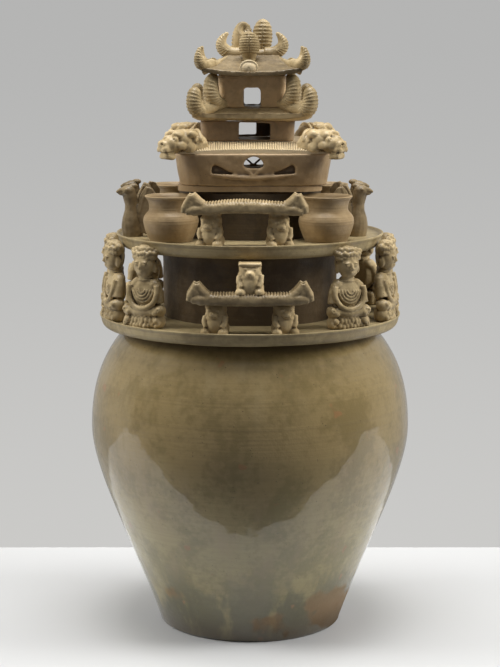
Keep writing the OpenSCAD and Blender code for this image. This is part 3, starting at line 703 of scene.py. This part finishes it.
def make_figures():
    def draped(width):
        """A fold that hangs in a U over the chest."""
        path = []
        for a in range(-92, 93, 10):
            x = width * sine(a)
            z = 28 - 1.15 * width * cosine(a)
            path.append((x, chest_y(x, z) - 0.15, z, 0.55))
        return coil(path, 2)

    skirt = []
    for row, (z, half_height, start) in enumerate(((8.6, 3.4, -5.2), (5.2, 3.2, -6), (2, 2.6, -6.4))):
        for step in range(-4, 5):
            x = 2.7 * step + 1.2 * (row % 2)
            at = (x, start + 0.02 * x * x, z + 0.7 * math.sin(2.1 * step + row))
            half_sizes = (1.7, 2.4 + 0.4 * math.sin(1.7 * step), half_height)
            skirt.append(ball(at, half_sizes, (8, 0, 5 * math.sin(step))))
    body = [
        block((0, -0.3, 5.5), (26, 10.6, 11), edge=3),
        skirt,
        pair((12.6, -2, 4.6), (4.1, 4.6, 5)),
        pair((13.4, -5.4, 3.4), (2.2, 2.2, 2.6)),
        pair((11.4, -6.4, 5.8), (2.2, 2, 2.2)),
        pair((12.4, -2.2, 12.4), (4.4, 5.2, 4.6)),
        pair((13.6, -5.8, 13.4), (2.4, 2.2, 2.4)),
        pair((10.8, -6.8, 11.2), (2.3, 1.9, 2.3)),
        coil([(-10.5, -3.8, 12.4, 4), (0, -5.4, 11.4, 3.4), (10.5, -3.8, 12.4, 4)]),
        ball((0, 0.5, 24), (11.3, 7.2, 12.8)),
        pair((7, 0.6, 31.2), (5, 4.8, 3.9), (0, 28, 0)),
        coil_pair([(8.4, 0.4, 31, 3.8), (11, -0.8, 25.4, 3.8), (12, -2, 18, 3.7)]),
        coil([(11.6 * sine(a), -4.6 - 2.6 * cosine(a), 26 - 12 * cosine(a), 2)
              for a in range(-112, 113, 14)]),
        [draped(width) for width in (2.4, 4.4, 6.4, 8.3)],
        ball((0, 0, 35), (5.8, 5.2, 3.4)),
    ]
    head = [
        ball((0, -1.6, 45.4), (7.9, 6.9, 9)),
        ball((0, -2.2, 41.2), (6.5, 5.8, 4.8)),
        ball((0, 0.4, 51.6), (9.4, 6.4, 5.6)),
        ball((0, -0.6, 55.6), (6.6, 4.8, 3.8)),
        coil_pair([(5, 0.2, 53, 3.6), (8.2, 0.2, 54.4, 3), (10.8, 0.4, 56, 1.6)]),
        pair((7.9, 0, 43.4), (1.3, 2.2, 4)),
        ball((0, 3.8, 47), (8.8, 2.4, 8)),
        pair((3.1, -7.8, 47.6), (2.3, 0.9, 0.5), (0, 8, 0)),
        pair((3.1, -8, 45.8), (1.6, 0.7, 0.8)),
        coil([(0, -8.3, 46.8, 0.7), (0, -9, 44.4, 1), (0, -9.2, 43.4, 1.2)], 2),
        pair((1, -8.5, 43.1), (0.75, 0.6, 0.6)),
        ball((0, -7.8, 41.2), (1.9, 0.7, 0.5)),
        ball((0, -7.6, 40.3), (1.4, 0.7, 0.6)),
    ]
    curls = []
    for z, width in ((50.6, 8.4), (53.6, 8.8), (56.6, 6.6)):
        for a in range(-75, 76, 15):
            at = (width * sine(a), -0.2 - 0.72 * width * cosine(a), z + 0.6 * math.sin(a))
            curls.append(ball(at, (1.7, 1.3, 1.6)))
    figure = luted(joined([body, head, curls]), 0.5, 3)
    pressed(figure, both_sides([((13.6, -8.2, 13.4), 1.2, 0.8), ((13.4, -7.8, 3.6), 0.9, 0.6)]))
    pressed(figure, [((5.6 * sine(a), -5.6 * cosine(a), 35.6), 1, 0.9) for a in range(-100, 101, 8)])
    uneven(figure, (9, 1, 41))
    cut_flat(figure, bottom=0, back=5.9, top=59.9)
    glaze_over(figure, FIGURE_GLAZE)
    for where, right, left, turn, out in (
            ("front", 43.8, 48.2, -FIGURE_TURN, 0), ("front_side", 72, 72, 0, 3.4),
            ("back_side", 98, 98, 0, 3.4), ("back", 119, 126, FIGURE_TURN, 0)):
        for side, sign, angle in (("right", 1, right), ("left", -1, left)):
            node = "seated_figure_%s_%s" % (where, side)
            stand(figure, "moulded_" + node, node, JAR_BODY, "figure_glaze", sign * angle, FIGURE_RING + out,
                  LOWER_FLOOR_Z, spin=sign * turn)
    drop(figure)


def make_bears():
    bear = luted(joined([
        ball((0, 1, 3.5), (9.4, 6.8, 8.6)),
        ball((0, 1, 10), (8.8, 6.4, 9.4)),
        ball((0, 1.2, 17), (7.6, 5.8, 9)),
        ball((0, 1.4, 23), (7, 5.2, 7)),
        ball((0, -2.4, 6.4), (7, 4.8, 6.6)),
        pair((6.2, -4.2, 1.4), (3.6, 4.2, 3.2)),
        coil_pair([(7, -1.6, 12.4, 2.5), (7.4, -3.8, 8, 2.2), (5.6, -6, 4.8, 1.8)]),
        ball((0, -2, 15.6), (6.8, 4.8, 6)),
        ball((0, -1.8, 11), (7, 4.8, 4.4)),
        ball((0, -6.4, 13.8), (3.2, 3, 2.7)),
        ball((0, -8.8, 14.6), (1.5, 1, 1)),
        pair((2.8, -6, 17), (1.7, 1.2, 1.2)),
        pair((5.4, -1.6, 18.8), (1.9, 1.6, 2)),
    ]), 0.42, 3)
    pressed(bear, both_sides([((2.9, -7.3, 16.9), 0.8, 0.5)]))
    pressed(bear, [((x * 0.5, -8.6, 12.4), 0.7, 0.5) for x in range(-4, 5)])
    uneven(bear, (6, 1, 43))
    cut_flat(bear, bottom=0, back=5.9, top=BEAR_H + BEAR_SUNK)
    glaze_over(bear, PAINTED_LIGHT_BEAR_GLAZE)
    for gate, ring, floor, gate_turn in (("lower", FIGURE_RING, LOWER_FLOOR_Z, 0),
                                         ("upper", UPPER_GATE_RING, UPPER_FLOOR_Z, UPPER_GATE_TURN)):
        apart = math.degrees(math.asin(BEAR_SPACING / 2 / ring))
        for where, turn, flip in (("front", 0, 1), ("back", 180, -1)):
            for side, sign in (("left", -1), ("right", 1)):
                node = "%s_gate_%s_%s_bear" % (gate, where, side)
                stand(bear, "moulded_" + node, node, JAR_BODY, "figure_glaze",
                      turn + gate_turn + sign * flip * apart, ring, floor)

    # The bear on each lower roof carries a flat block on a shorter head
    head_top = BEAR_H - 1.4
    cut_flat(bear, top=head_top)
    top_bear = joined([bear, block((0, -0.4, head_top), (15.6, 13, 2.2), edge=0.9)])
    luted(top_bear, 0.42, 2)
    cut_flat(top_bear, back=5.5)
    glaze_over(top_bear, PAINTED_LIGHT_BEAR_GLAZE)
    for where, turn in (("front", 0), ("back", 180)):
        node = "lower_gate_%s_top_bear" % where
        stand(top_bear, "moulded_" + node, node, JAR_BODY, "figure_glaze", turn, FIGURE_RING,
              LOWER_FLOOR_Z + BEAR_H + GATE_ROOF_T - 0.8, size=1.04)
    drop(top_bear)


def make_gate_roof(bow, glaze):
    """A tiled slab with four ears; its middle is bowed up, or down where bow is negative."""
    ears = []
    for y in (-6, 6):
        ears += coil_pair([(43, y, 2.4, 2), (42, y, 6, 2.8), (39.4, y, 10.6, 2.8), (37.4, y, 14.6, 2.4)])
        ears += coil_pair([(29, y, 6, 2.8), (32.6, y, 8.6, 3), (35.6, y, 12, 2.8), (37.2, y, 14.6, 2.4)])
        ears += coil_pair([(30, y, 4, 3.4), (36, y, 4.4, 3.8), (41, y, 3.4, 2.8)])
        ears += pair((37, y, 8), (4.4, 2.7, 4.8))
    bar = block((0, 0, 4), (76, 18.4, GATE_ROOF_T), edge=3)
    roof = luted(joined([bar, ears]), 0.52, 2)

    def shaped(x, y, z):
        along = min(abs(x) / 40, 1)
        top = min(max(z - 4, 0) / 4, 1)
        tile = 0
        if abs(x) < 30:
            tile = 0.4 * top * math.sin(2 * math.pi * x / 2.1) * min((30 - abs(x)) / 3, 1)
        crown = 1.2 * (1 - (y / 9.4) ** 2) * top * (1 - along)
        return x, y, z + tile + crown + bow * (1 - along ** 2)
    reshaped(roof, shaped)
    uneven(roof, (14, 0.9, 47), (4, 0.5, 48))
    glaze_over(roof, glaze, 14)
    return roof


def make_gate_roofs():
    for gate, ring, floor, gate_turn, bow, glaze in (
            ("lower", FIGURE_RING, LOWER_FLOOR_Z, 0, -1.2, PAINTED_SHADE_ROOF_GLAZE),
            ("upper", UPPER_GATE_RING - 0.5, UPPER_FLOOR_Z, UPPER_GATE_TURN, 2.4, ROOF_GLAZE)):
        roof = make_gate_roof(bow, glaze)
        for where, turn in (("front", 0), ("back", 180)):
            node = "%s_gate_%s_roof" % (gate, where)
            stand(roof, "tiled_" + node, node, JAR_BODY, "roof_glaze", turn + gate_turn, ring,
                  floor + BEAR_H)
        drop(roof)


def make_birds():
    lean = 26
    outline = [(2, 3), (13, 1.6), (16, 14), (17.4, 31), (14, 36), (9.6, 37), (6.6, 33), (4.4, 28), (2.6, 18)]
    wings = []
    for side in (1, -1):
        panel = prism(outline, -1.1, 1.1)
        panel.location = mm((side * 2.4, 0, 0))
        panel.rotation_euler = (0, 0, math.radians(90 - side * lean))
        wings.append(panel)
        edge = []
        for i in range(9):
            t = i / 8
            out = 2 + 9 * t ** 1.4
            edge.append((side * (2.4 + out * sine(lean)), out * cosine(lean), 3 + 33 * t ** 0.9, 1.5))
        wings.append(coil(edge))
    bird = luted(joined([
        coil([(0, 0, -1, 7), (0, -0.4, 4, 7.8), (0, -1.2, 9, 7.6), (0, -1.4, 14, 6.6), (0, -1, 19, 5.4),
              (0, -1.2, 24, 5), (0, -2.2, 29, 5.2), (0, -3, 33, 5)]),
        ball((0, -3.6, 33.4), (5.2, 5.6, 4.4)),
        coil([(0, -6.6, 34, 3), (0, -9.6, 33.6, 2.2), (0, -12.4, 32.8, 0.9)]),
        ball((0, -8, 31.6), (2.4, 3, 1.4)),
        ball((0, 0.4, 37), (2.4, 3.4, 2)),
        pair((4.2, -5.4, 34.6), (1.2, 1.4, 1.3)),
        wings,
    ]), 0.52, 2)
    uneven(bird, (9, 0.8, 53))
    cut_flat(bird, bottom=0, top=39.5)
    glaze_over(bird, DARK_PAINTED_SHADE_GLAZE)
    for where, angle in (("front", 76), ("back", 104)):
        for side, sign, inward in (("right", 1, 8), ("left", -1, 0)):
            node = "bird_%s_%s" % (where, side)
            stand(bird, "moulded_" + node, node, JAR_BODY, "figure_glaze", sign * angle, BIRD_RING - inward,
                  UPPER_FLOOR_Z)
    drop(bird)


# The pavilion

def pick(obj, kind, chosen):
    """Leaves a piece in edit mode with the faces or edges selected that a rule chooses."""
    bpy.ops.object.mode_set(mode="EDIT")
    bpy.ops.mesh.select_mode(type=kind)
    bpy.ops.mesh.select_all(action="DESELECT")
    bpy.ops.object.mode_set(mode="OBJECT")
    for item in obj.data.polygons if kind == "FACE" else obj.data.edges:
        item.select = chosen(item)
    bpy.ops.object.mode_set(mode="EDIT")


def walls(low_half, high_half, height, corner, thick):
    """A ring of clay walls on a square plan with rounded corners, spreading from its foot to its top."""
    deselect()
    bpy.ops.mesh.primitive_cube_add(size=MM, location=mm((0, 0, height / 2)), scale=(2, 2, height))
    made = bpy.context.object
    bpy.ops.object.transform_apply(location=True, rotation=True, scale=True)
    reshaped(made, lambda x, y, z: (x * high_half, y * high_half, z))

    def stands_up(edge):
        low, high = (made.data.vertices[i].co for i in edge.vertices)
        return abs(low.z - high.z) > 1 * MM
    pick(made, "FACE", lambda face: abs(face.normal.z) > 0.5)
    bpy.ops.mesh.delete(type="ONLY_FACE")
    pick(made, "EDGE", stands_up)
    bpy.ops.mesh.bevel(offset=corner * MM, segments=10, affect="EDGES")
    bpy.ops.mesh.select_all(action="SELECT")
    bpy.ops.mesh.subdivide(number_cuts=7)
    bpy.ops.object.mode_set(mode="OBJECT")

    def leaning(x, y, z):
        grow = 1 - (1 - low_half / high_half) * (1 - z / height) ** 1.5
        return x * grow, y * grow, z
    reshaped(made, leaning)
    applied(made, "SOLIDIFY", thickness=thick * MM, offset=-1)
    return made


def pierced(storey, outline, front, half, depth):
    """Cuts an opening into a wall: front is 1 for the front wall and -1 for the back one."""
    reach = sorted((-front * (half + 3), -front * (half - depth)))
    cutter = prism([(front * x, z) for x, z in outline], *reach)
    applied(storey, "BOOLEAN", operation="DIFFERENCE", solver="EXACT", object=cutter)
    drop(cutter)


def make_first_storey():
    half, height = 56.5, 23.4
    storey = walls(53, half, height, 22, 7)
    triangle = [(30.5, 9.4), (29.6, 14.6), (27.4, 15.8), (23, 13.4), (16, 10.2), (10, 8.2), (20, 8.2)]
    mirrored = [(-x, z) for x, z in triangle]
    eye = [(7.2 * cosine(a), 16.6 + 4.4 * sine(a) - 0.8 * cosine(2 * a)) for a in range(0, 360, 15)]
    wide_eye = [(1.6 * x, 1.5 * z - 13) for x, z in eye]
    for front, hole in ((1, eye), (-1, wide_eye)):
        for outline, depth in ((triangle, 4.2), (mirrored, 4.2), (hole, 12)):
            pierced(storey, outline, front, half, depth)
    sills = []
    for front in (1, -1):
        path = []
        for x in range(-32, 33, 2):
            share = abs(x) / 32
            path.append((x, -front * (half - 2), 6.2 + 2.8 * share ** 1.6, 1.7 - 1.2 * share ** 3))
        sills.append(coil(path, 3))
        end_y = -front * (half - 1.5)
        middle = (0, -front * (half - 2), 7.6, 1.2)
        sills.append(coil([(-5.5, end_y, 12.4, 1), middle, (5.5, end_y, 12.4, 1)], 3))
    storey = luted(joined([storey, sills]), 0.85, 2)
    uneven(storey, (30, 0.9, 21), (6, 0.5, 22))
    glaze_over(storey, WALL_GLAZE)
    stand_once(storey, "first_storey_walls", "first_storey", LID_BODY, "wall_glaze", z=FIRST_Z,
               shift=FIRST_SHIFT)


def make_second_storey():
    half, height = 34.4, 14.9
    storey = walls(33.4, half, height, 6, 4.5)
    for front in (1, -1):
        pierced(storey, [(-6.5, 1.6), (16, 1.2), (16.2, 13.2), (-6.2, 13.8)], front, half, 9)
    luted(storey, 0.7, 2)
    uneven(storey, (25, 0.6, 23), (5, 0.5, 24))
    glaze_over(storey, PAINTED_SHADE_WALL_GLAZE)
    stand_once(storey, "second_storey_walls", "second_storey", LID_BODY, "wall_glaze", z=SECOND_Z,
               shift=-2 * TOWER_SHIFT)


def make_third_storey():
    half, height = 24.3, 23.4
    storey = walls(23.6, half, height, 6, 4)
    window = [(-6.2, 1.8), (-5.4, 0.8), (5.6, 0.6), (6.4, 2.4), (6.2, 12.6), (4.4, 14.4), (-4.8, 14.6),
              (-6.3, 13)]
    for front in (1, -1):
        pierced(storey, window, front, half, 9)
    luted(storey, 0.6, 2)
    uneven(storey, (12, 0.9, 25), (4, 0.5, 26))

    def flared(x, y, z):
        spread = 1 + 0.05 * (abs(x) / half) ** 6 * (abs(y) / half) ** 6 + 0.03 * max(z / height - 0.7, 0)
        return x * spread, y * spread, z
    reshaped(storey, flared)
    glaze_over(storey, PAINTED_LIGHT_WALL_GLAZE)
    stand_once(storey, "third_storey_walls", "third_storey", LID_BODY, "wall_glaze", z=THIRD_Z)


def slab(half, cuts, shape):
    """A square sheet of clay, cut into a fine grid and shaped by a rule."""
    deselect()
    bpy.ops.mesh.primitive_grid_add(x_subdivisions=cuts, y_subdivisions=cuts, size=2 * half * MM)
    made = bpy.context.object
    reshaped(made, shape)
    return made


def edge_share(x, y, half, flat_x, flat_y):
    """0 at the eaves, 1 where the slope meets the flat top."""
    return max(0.0, min((half - abs(x)) / (half - flat_x), (half - abs(y)) / (half - flat_y), 1.0))


def bridged(top, under):
    """Closes the gap between the edges of two sheets into one solid."""
    made = joined([top, under])
    with edit_mode(made):
        bpy.ops.mesh.select_all(action="DESELECT")
        bpy.ops.mesh.select_mode(type="EDGE")
        bpy.ops.mesh.select_non_manifold(extend=False)
        bpy.ops.mesh.bridge_edge_loops()
        bpy.ops.mesh.select_all(action="SELECT")
        bpy.ops.mesh.normals_make_consistent(inside=False)
    return made


def make_first_roof():
    half, flat, cuts = 54.9, 36.5, 190

    def tiled(x, y, _):
        share = edge_share(x, y, half, flat, flat)
        along = y if abs(x) > abs(y) else x
        arch = 2.2 * (1 - (along / half) ** 2) * (1 - share)
        tile = 0.4 * math.sin(2 * math.pi * along / 1.7) if share < 0.98 else 0
        return x, y, 1.1 + 6.3 * share ** 0.85 + arch + tile
    top = slab(half, cuts, tiled)
    under = slab(half, cuts, lambda x, y, _: (x, y, 0.02))
    with edit_mode(under):
        bpy.ops.mesh.dissolve_faces()
    roof = bridged(top, under)
    glaze_over(roof, PAINTED_LIGHT_TILE_GLAZE, 10, 50)
    stand_once(roof, "first_roof_tiles", "first_roof", LID_BODY, "roof_glaze", z=FIRST_ROOF_Z,
               shift=FIRST_SHIFT)


def make_second_roof():
    half, cuts = 43.4, 110

    def corner(x, y):
        return 3 * (abs(x) / half) ** 6 * (abs(y) / half) ** 6

    def dished(x, y, _):
        share = edge_share(x, y, half, 25, 25)
        return x, y, 4.6 + 1 * math.exp(-share * 14) + 4.2 * share ** 5 + corner(x, y)

    def coved(x, y, _):
        share = edge_share(x, y, half, 35, 35)
        return x, y, 2 * (1 - share) ** 2 + corner(x, y)
    roof = luted(bridged(slab(half, cuts, dished), slab(half, cuts, coved)), 0.7, 1)
    uneven(roof, (25, 0.9, 31), (5, 0.5, 32))
    glaze_over(roof, ROOF_GLAZE, 14, 50)
    stand_once(roof, "second_roof_tray", "second_roof", LID_BODY, "roof_glaze", z=SECOND_ROOF_Z)


def top_surface(x, y):
    """Height of the top roof: hipped, hollow in its slopes, its eaves sagging between raised corners."""
    share = edge_share(x, y, TOP_HALF, *TOP_FLAT)
    along = min(abs(x), abs(y)) / TOP_HALF
    return 2.8 + 3.4 * along ** 2.2 * (1 - share) + 11.6 * share ** 1.2


def make_top_roof():
    def tiled(x, y, _):
        flat_x, flat_y = TOP_FLAT
        on_side = (TOP_HALF - abs(x)) / (TOP_HALF - flat_x) < (TOP_HALF - abs(y)) / (TOP_HALF - flat_y)
        tile = 0.12 * math.sin(2 * math.pi * (y if on_side else x) / 2.4)
        if edge_share(x, y, TOP_HALF, flat_x, flat_y) >= 0.95:
            tile = 0
        return x, y, top_surface(x, y) + tile
    roof = slab(TOP_HALF, 120, tiled)
    applied(roof, "SOLIDIFY", thickness=3.4 * MM, offset=-1)
    luted(roof, 0.68, 3)
    uneven(roof, (16, 0.9, 33), (4, 0.5, 34))
    glaze_over(roof, DARK_PAINTED_SHADE_GLAZE, 12, 50)
    stand_once(roof, "top_roof_tiles", "top_roof", LID_BODY, "roof_glaze", z=TOP_ROOF_Z)


def make_beasts():
    mane = []
    for y in (5, 10):
        mane.append(coil([(8.8 * sine(a), y + 1.5 * cosine(a), 4.4 + 8.4 * cosine(a), 1.6)
                          for a in range(-85, 86, 17)], 2))
    beast = luted(joined([
        ball((0, 9, 4.6), (9.2, 10, 7.4)),
        ball((0, 0, 6.4), (9.8, 10, 7.6)),
        block((0, 8, 1.6), (17.6, 19, 9), edge=3),
        ball((0, -8.6, 3.4), (8.6, 8.4, 6.6)),
        block((0, -13.4, 0.6), (13, 9.6, 9), edge=3.4),
        ball((0, -16, 3.6), (5.6, 3.4, 3.2)),
        pair((4, -15.4, 0), (3, 3.4, 3)),
        block((0, -12.2, -5), (11.4, 8.6, 4.4), edge=2),
        pair((4.8, -5.8, 10.8), (3.8, 4.6, 2.7), (0, 22, 0)),
        pair((6.2, -9.2, 7.2), (2.3, 2.1, 2.1)),
        pair((8, -4.6, 2.6), (2, 4.6, 3)),
        pair((8.2, 3.4, 10.4), (3, 4.4, 3), (0, 30, 0)),
        pair((8.8, 2, 1.6), (2, 4, 4)),
        ball((0, -10.4, 8.2), (3, 5, 2.4)),
        mane,
    ]), 0.5, 3)
    pressed(beast, both_sides([((2.8, -19, 4), 1.8, 1.5), ((7, -10.8, 7.4), 1.2, 0.9)]))
    pressed(beast, [((x, -17.8 + abs(x) * 0.3, -2.6), 1.4, 1.5) for x in range(-6, 7)])
    pressed(beast, both_sides([((6.6, -15.4 + i, -2.6 + 0.1 * i), 1.3, 1.2) for i in range(6)]))
    uneven(beast, (8, 1.6, 59), (3, 0.3, 60))
    glaze_over(beast, PAINTED_LIGHT_BEAR_GLAZE)
    for corner, angle in CORNERS.items():
        node = "beast_" + corner
        stand(beast, "moulded_" + node, node, LID_BODY, "figure_glaze", angle, 71, FIRST_ROOF_Z + 3.4,
              spin=math.copysign(BEAST_TURN, angle * (90 - abs(angle))))
    drop(beast)


def ribs_over(at, size, outward, along, r, droop):
    """Two half rings round the outer side of a coil, their ends drooping towards its foot."""
    sideways = Vector((1, 0, 0))
    rings = []
    for side in (1, -1):
        path = []
        for around in range(5, 111, 15):
            point = at + size * (cosine(around) * outward + side * sine(around) * sideways)
            point = point - droop * (around / 90) ** 2 * along
            path.append((*point, r))
        rings.append(coil(path, 2))
    return rings


def horn(points, stem, head, tip, ribs, first_rib):
    """A horn along a curve in the Y, Z plane, ribbed over its outer side up to a round tip."""
    def size(t):
        if t < 0.45:
            return stem + (head - stem) * math.sin(math.pi / 2 * t / 0.45)
        return head + (tip - head) * ((t - 0.45) / 0.55) ** 2

    path = [(0, *bezier(*points, i / 40), size(i / 40)) for i in range(41)]
    parts = [coil(path, 8), ball(path[-1][:3], (tip, tip, tip))]
    for rib in range(ribs):
        t = first_rib + (1 - first_rib) * rib / (ribs - 1)
        here = Vector((0, *bezier(*points, t)))
        along = (Vector((0, *bezier(*points, t + 0.01))) - here).normalized()
        outward = Vector((0, -along.z, along.y))
        parts += ribs_over(here, size(t), outward, along, 0.05 * head + 0.22, 0.2 * head)
    return parts


def make_second_hips():
    outer_horn = horn(((-51, 7.6), (-57.4, 6.6), (-60.4, 12.4), (-58.8, 20)), 4.2, 5.9, 4.8, 9, 0.2)
    inner_horn = horn(((-33, 12.6), (-39.6, 12.6), (-43.8, 18.6), (-42, 28)), 4.4, 6, 5, 9, 0.3)
    ridge = coil([(0, -29, 12, 4.4), (0, -36, 11, 4.4), (0, -44, 8.8, 4.2), (0, -53, 7.6, 4.2)], 8)
    hip = luted(joined([ridge, outer_horn, inner_horn]), 0.4, 1)
    glaze_over(hip, FIGURE_GLAZE, 14)
    for corner, angle in CORNERS.items():
        node = "second_hip_" + corner
        stand(hip, "ribbed_" + node, node, LID_BODY, "ridge_glaze", angle, 0, SECOND_ROOF_Z)
    drop(hip)


def make_main_ridge():
    ends = []
    for turn in (90, -90):
        parts = horn(((-9, 0.2), (-20, -1), (-27.6, 6.4), (-18.8, 14.6)), 5, 4.7, 1.5, 10, 0.4)
        end = joined(parts)
        end.rotation_euler = (0, 0, math.radians(turn))
        ends.append(end)
    bar = coil([(-14, 0, 0.2, 4.2), (-6, 0, -0.4, 4), (6, 0, -0.4, 4), (14, 0, 0.2, 4.2)], 8)
    ridge = luted(joined([bar, ends]), 0.35, 1)
    glaze_over(ridge, FIGURE_GLAZE, 12)
    stand_once(ridge, "ribbed_main_ridge", "main_ridge", LID_BODY, "ridge_glaze", z=RIDGE_Z)


def make_top_hips():
    start_x, start_y, end_x, end_y = 17, 4, 36, 34
    run_x, run_y = end_x - start_x, end_y - start_y
    lean = math.degrees(math.atan2(run_x, run_y))
    length = math.hypot(run_x, run_y)
    curve_points = ((-0.62 * length, 8.6), (-length, 4.4), (-1.24 * length, 9), (-1.1 * length, 19.2))
    for where, front in (("front", -1), ("back", 1)):
        for side, sign in (("right", 1), ("left", -1)):
            node = "top_hip_%s_%s" % (where, side)
            ridge = []
            for i in range(7):
                x, y = start_x + run_x * 0.13 * i, start_y + run_y * 0.13 * i
                ridge.append((sign * x, front * y, top_surface(x, y) - 1.4 + 0.12 * i, 1.2 + 0.36 * i))
            curl = joined(horn(curve_points, 3.6, 4, 1.3, 9, 0.5))
            turn = sign * lean if front < 0 else sign * (180 - lean)
            curl.matrix_world = (Matrix.Translation(mm((sign * start_x, front * start_y, 0)))
                                 @ Matrix.Rotation(math.radians(turn), 4, "Z"))
            hip = luted(joined([coil(ridge, 6), curl]), 0.35, 1)
            glaze_over(hip, FIGURE_GLAZE, 10)
            stand_once(hip, "ribbed_" + node, node, LID_BODY, "ridge_glaze", z=TOP_ROOF_Z)


def make_buds():
    def size(t):
        if t < 0.55:
            return 4.6 + 2.6 * math.sin(math.pi / 2 * max(t - 0.1, 0) / 0.45)
        return 7.2 * math.sqrt(max(1 - ((t - 0.55) / 0.452) ** 2.4, 0.006))

    # Each bud has ribs towards the front, the back or both
    for name, foot, top, faces in (("bud_front", (-2, -11, 10), (-2.4, -12, 31.4), (-1,)),
                                   ("bud_back_right", (6.5, 9, 10), (8.2, 10.5, 40.6), (-1, 1)),
                                   ("bud_back_left", (-9, 9, 10), (-6.4, 10.5, 38.6), (1,))):
        foot = Vector(foot)
        run = Vector(top) - foot
        parts = [coil([(*(foot + run * (i / 40)), size(i / 40)) for i in range(41)], 8)]
        for face in faces:
            for rib in range(8):
                t = 0.32 + 0.085 * rib
                at = foot + run * t
                parts += ribs_over(at, size(t), Vector((0, face, 0)), run.normalized(), 0.75, 0.8)
        bud = luted(joined(parts), 0.35, 1)
        if name == "bud_back_left":
            pressed(bud, [(tuple(foot + 0.86 * run + Vector((2.4, -7, 0))), 7, 5)])
        glaze_over(bud, FIGURE_GLAZE, 12)
        stand_once(bud, "ribbed_" + name, name, LID_BODY, "ridge_glaze", z=TOP_ROOF_Z)


def make_boss():
    across = -2.4
    rim = coil([(across + 6 * sine(a), -34.4 + 1.2 * abs(sine(a)), 5.6 + 5 * cosine(a), 0.9)
                for a in range(0, 361, 15)], 2)
    boss = luted(joined([ball((across, -31, 5.6), (6.6, 5.2, 5.6)), rim]), 0.35, 1)
    for side in (1, -1):
        pressed(boss, [((across + side * (1.6 + 1.5 * sine(a)), -36.2, 6 + 2.6 * cosine(a)), 0.55, 0.35)
                       for a in range(0, 271, 15)])
    glaze_over(boss, PAINTED_LIGHT_TILE_GLAZE, 4)
    stand_once(boss, "eave_boss", "front_boss", LID_BODY, "ridge_glaze", z=TOP_ROOF_Z)


make_jar()
make_ledges()
make_neck()
make_small_jars()
make_figures()
make_bears()
make_gate_roofs()
make_birds()
make_first_storey()
make_second_storey()
make_third_storey()
make_first_roof()
make_second_roof()
make_top_roof()
make_beasts()
make_second_hips()
make_main_ridge()
make_top_hips()
make_buds()
make_boss()
coat(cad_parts["upper_neck"], SHADED_GLAZE)
coat(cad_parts["lid_plate"], WALL_GLAZE)


# Studio, in metres

def make_stage():
    back, front, half, thick = 0.195, -0.166, 1.2, 0.04
    deselect()
    bpy.ops.mesh.primitive_cube_add(size=1, location=(0, (back + front) / 2, -thick / 2))
    table = bpy.context.object
    table.name = "table"
    table.scale = (2 * half, back - front, thick)
    bpy.ops.object.transform_apply(location=True, rotation=True, scale=True)
    material, tree, _ = new_material("pale_table")
    finish_with(tree, {"Base Color": (0.55, 0.55, 0.545), "Roughness": 0.55})
    coat(table, material)


def make_lamp(name, at, aim, size, power, mirrored):
    """A square lamp; the glaze shows its reflection only where mirrored is true."""
    bpy.ops.object.light_add(type="AREA", location=at)
    light = bpy.context.object
    light.name = name
    light.data.size = size
    light.data.energy = power
    light.visible_glossy = mirrored
    light.rotation_euler = (Vector(aim) - Vector(at)).to_track_quat("-Z", "Y").to_euler()


def make_world():
    """A room darker in front than behind, with a paler wall that only the camera sees."""
    world = bpy.data.worlds.new("pale_room")
    bpy.context.scene.world = world
    world.use_nodes = True
    tree = world.node_tree
    tree.nodes.clear()
    way = new_node(tree, "ShaderNodeTexCoord").outputs["Generated"]
    split = new_node(tree, "ShaderNodeSeparateXYZ", {0: way}).outputs
    around = mixed(tree, ramp(tree, split["Y"], -0.1, 0.35), (0.16, 0.16, 0.163), (0.36, 0.36, 0.352))
    wall = mixed(tree, ramp(tree, split["Z"], -0.3, 0.02), (0.6, 0.595, 0.58), (0.46, 0.46, 0.455))
    room = new_node(tree, "ShaderNodeBackground", {"Color": around}).outputs[0]
    seen = new_node(tree, "ShaderNodeBackground", {"Color": wall}).outputs[0]
    to_camera = new_node(tree, "ShaderNodeLightPath").outputs["Is Camera Ray"]
    shown = new_node(tree, "ShaderNodeMixShader", {0: to_camera, 1: room, 2: seen}).outputs[0]
    new_node(tree, "ShaderNodeOutputWorld", {"Surface": shown})


def make_camera():
    camera = bpy.data.cameras.new("front_camera")
    camera.lens = 104.93
    camera.sensor_width = 36
    made = linked(bpy.data.objects.new("front_camera", camera))
    made.location = (0, -1.45, 0.453)
    look_down = 9.12
    made.rotation_euler = (math.radians(90 - look_down), 0, 0)
    bpy.context.scene.camera = made


make_stage()
make_lamp("overhead", (0, -0.12, 2.2), (0, 0, 0.2), size=1.1, power=38, mirrored=True)
make_lamp("left_side", (-1.4, -0.06, 1.1), (0, 0, 0.14), size=0.8, power=22, mirrored=False)
make_lamp("right_side", (1.4, -0.16, 1.1), (0, 0, 0.14), size=0.8, power=27, mirrored=False)
make_world()
make_camera()
bpy.context.scene.view_settings.view_transform = "Standard"
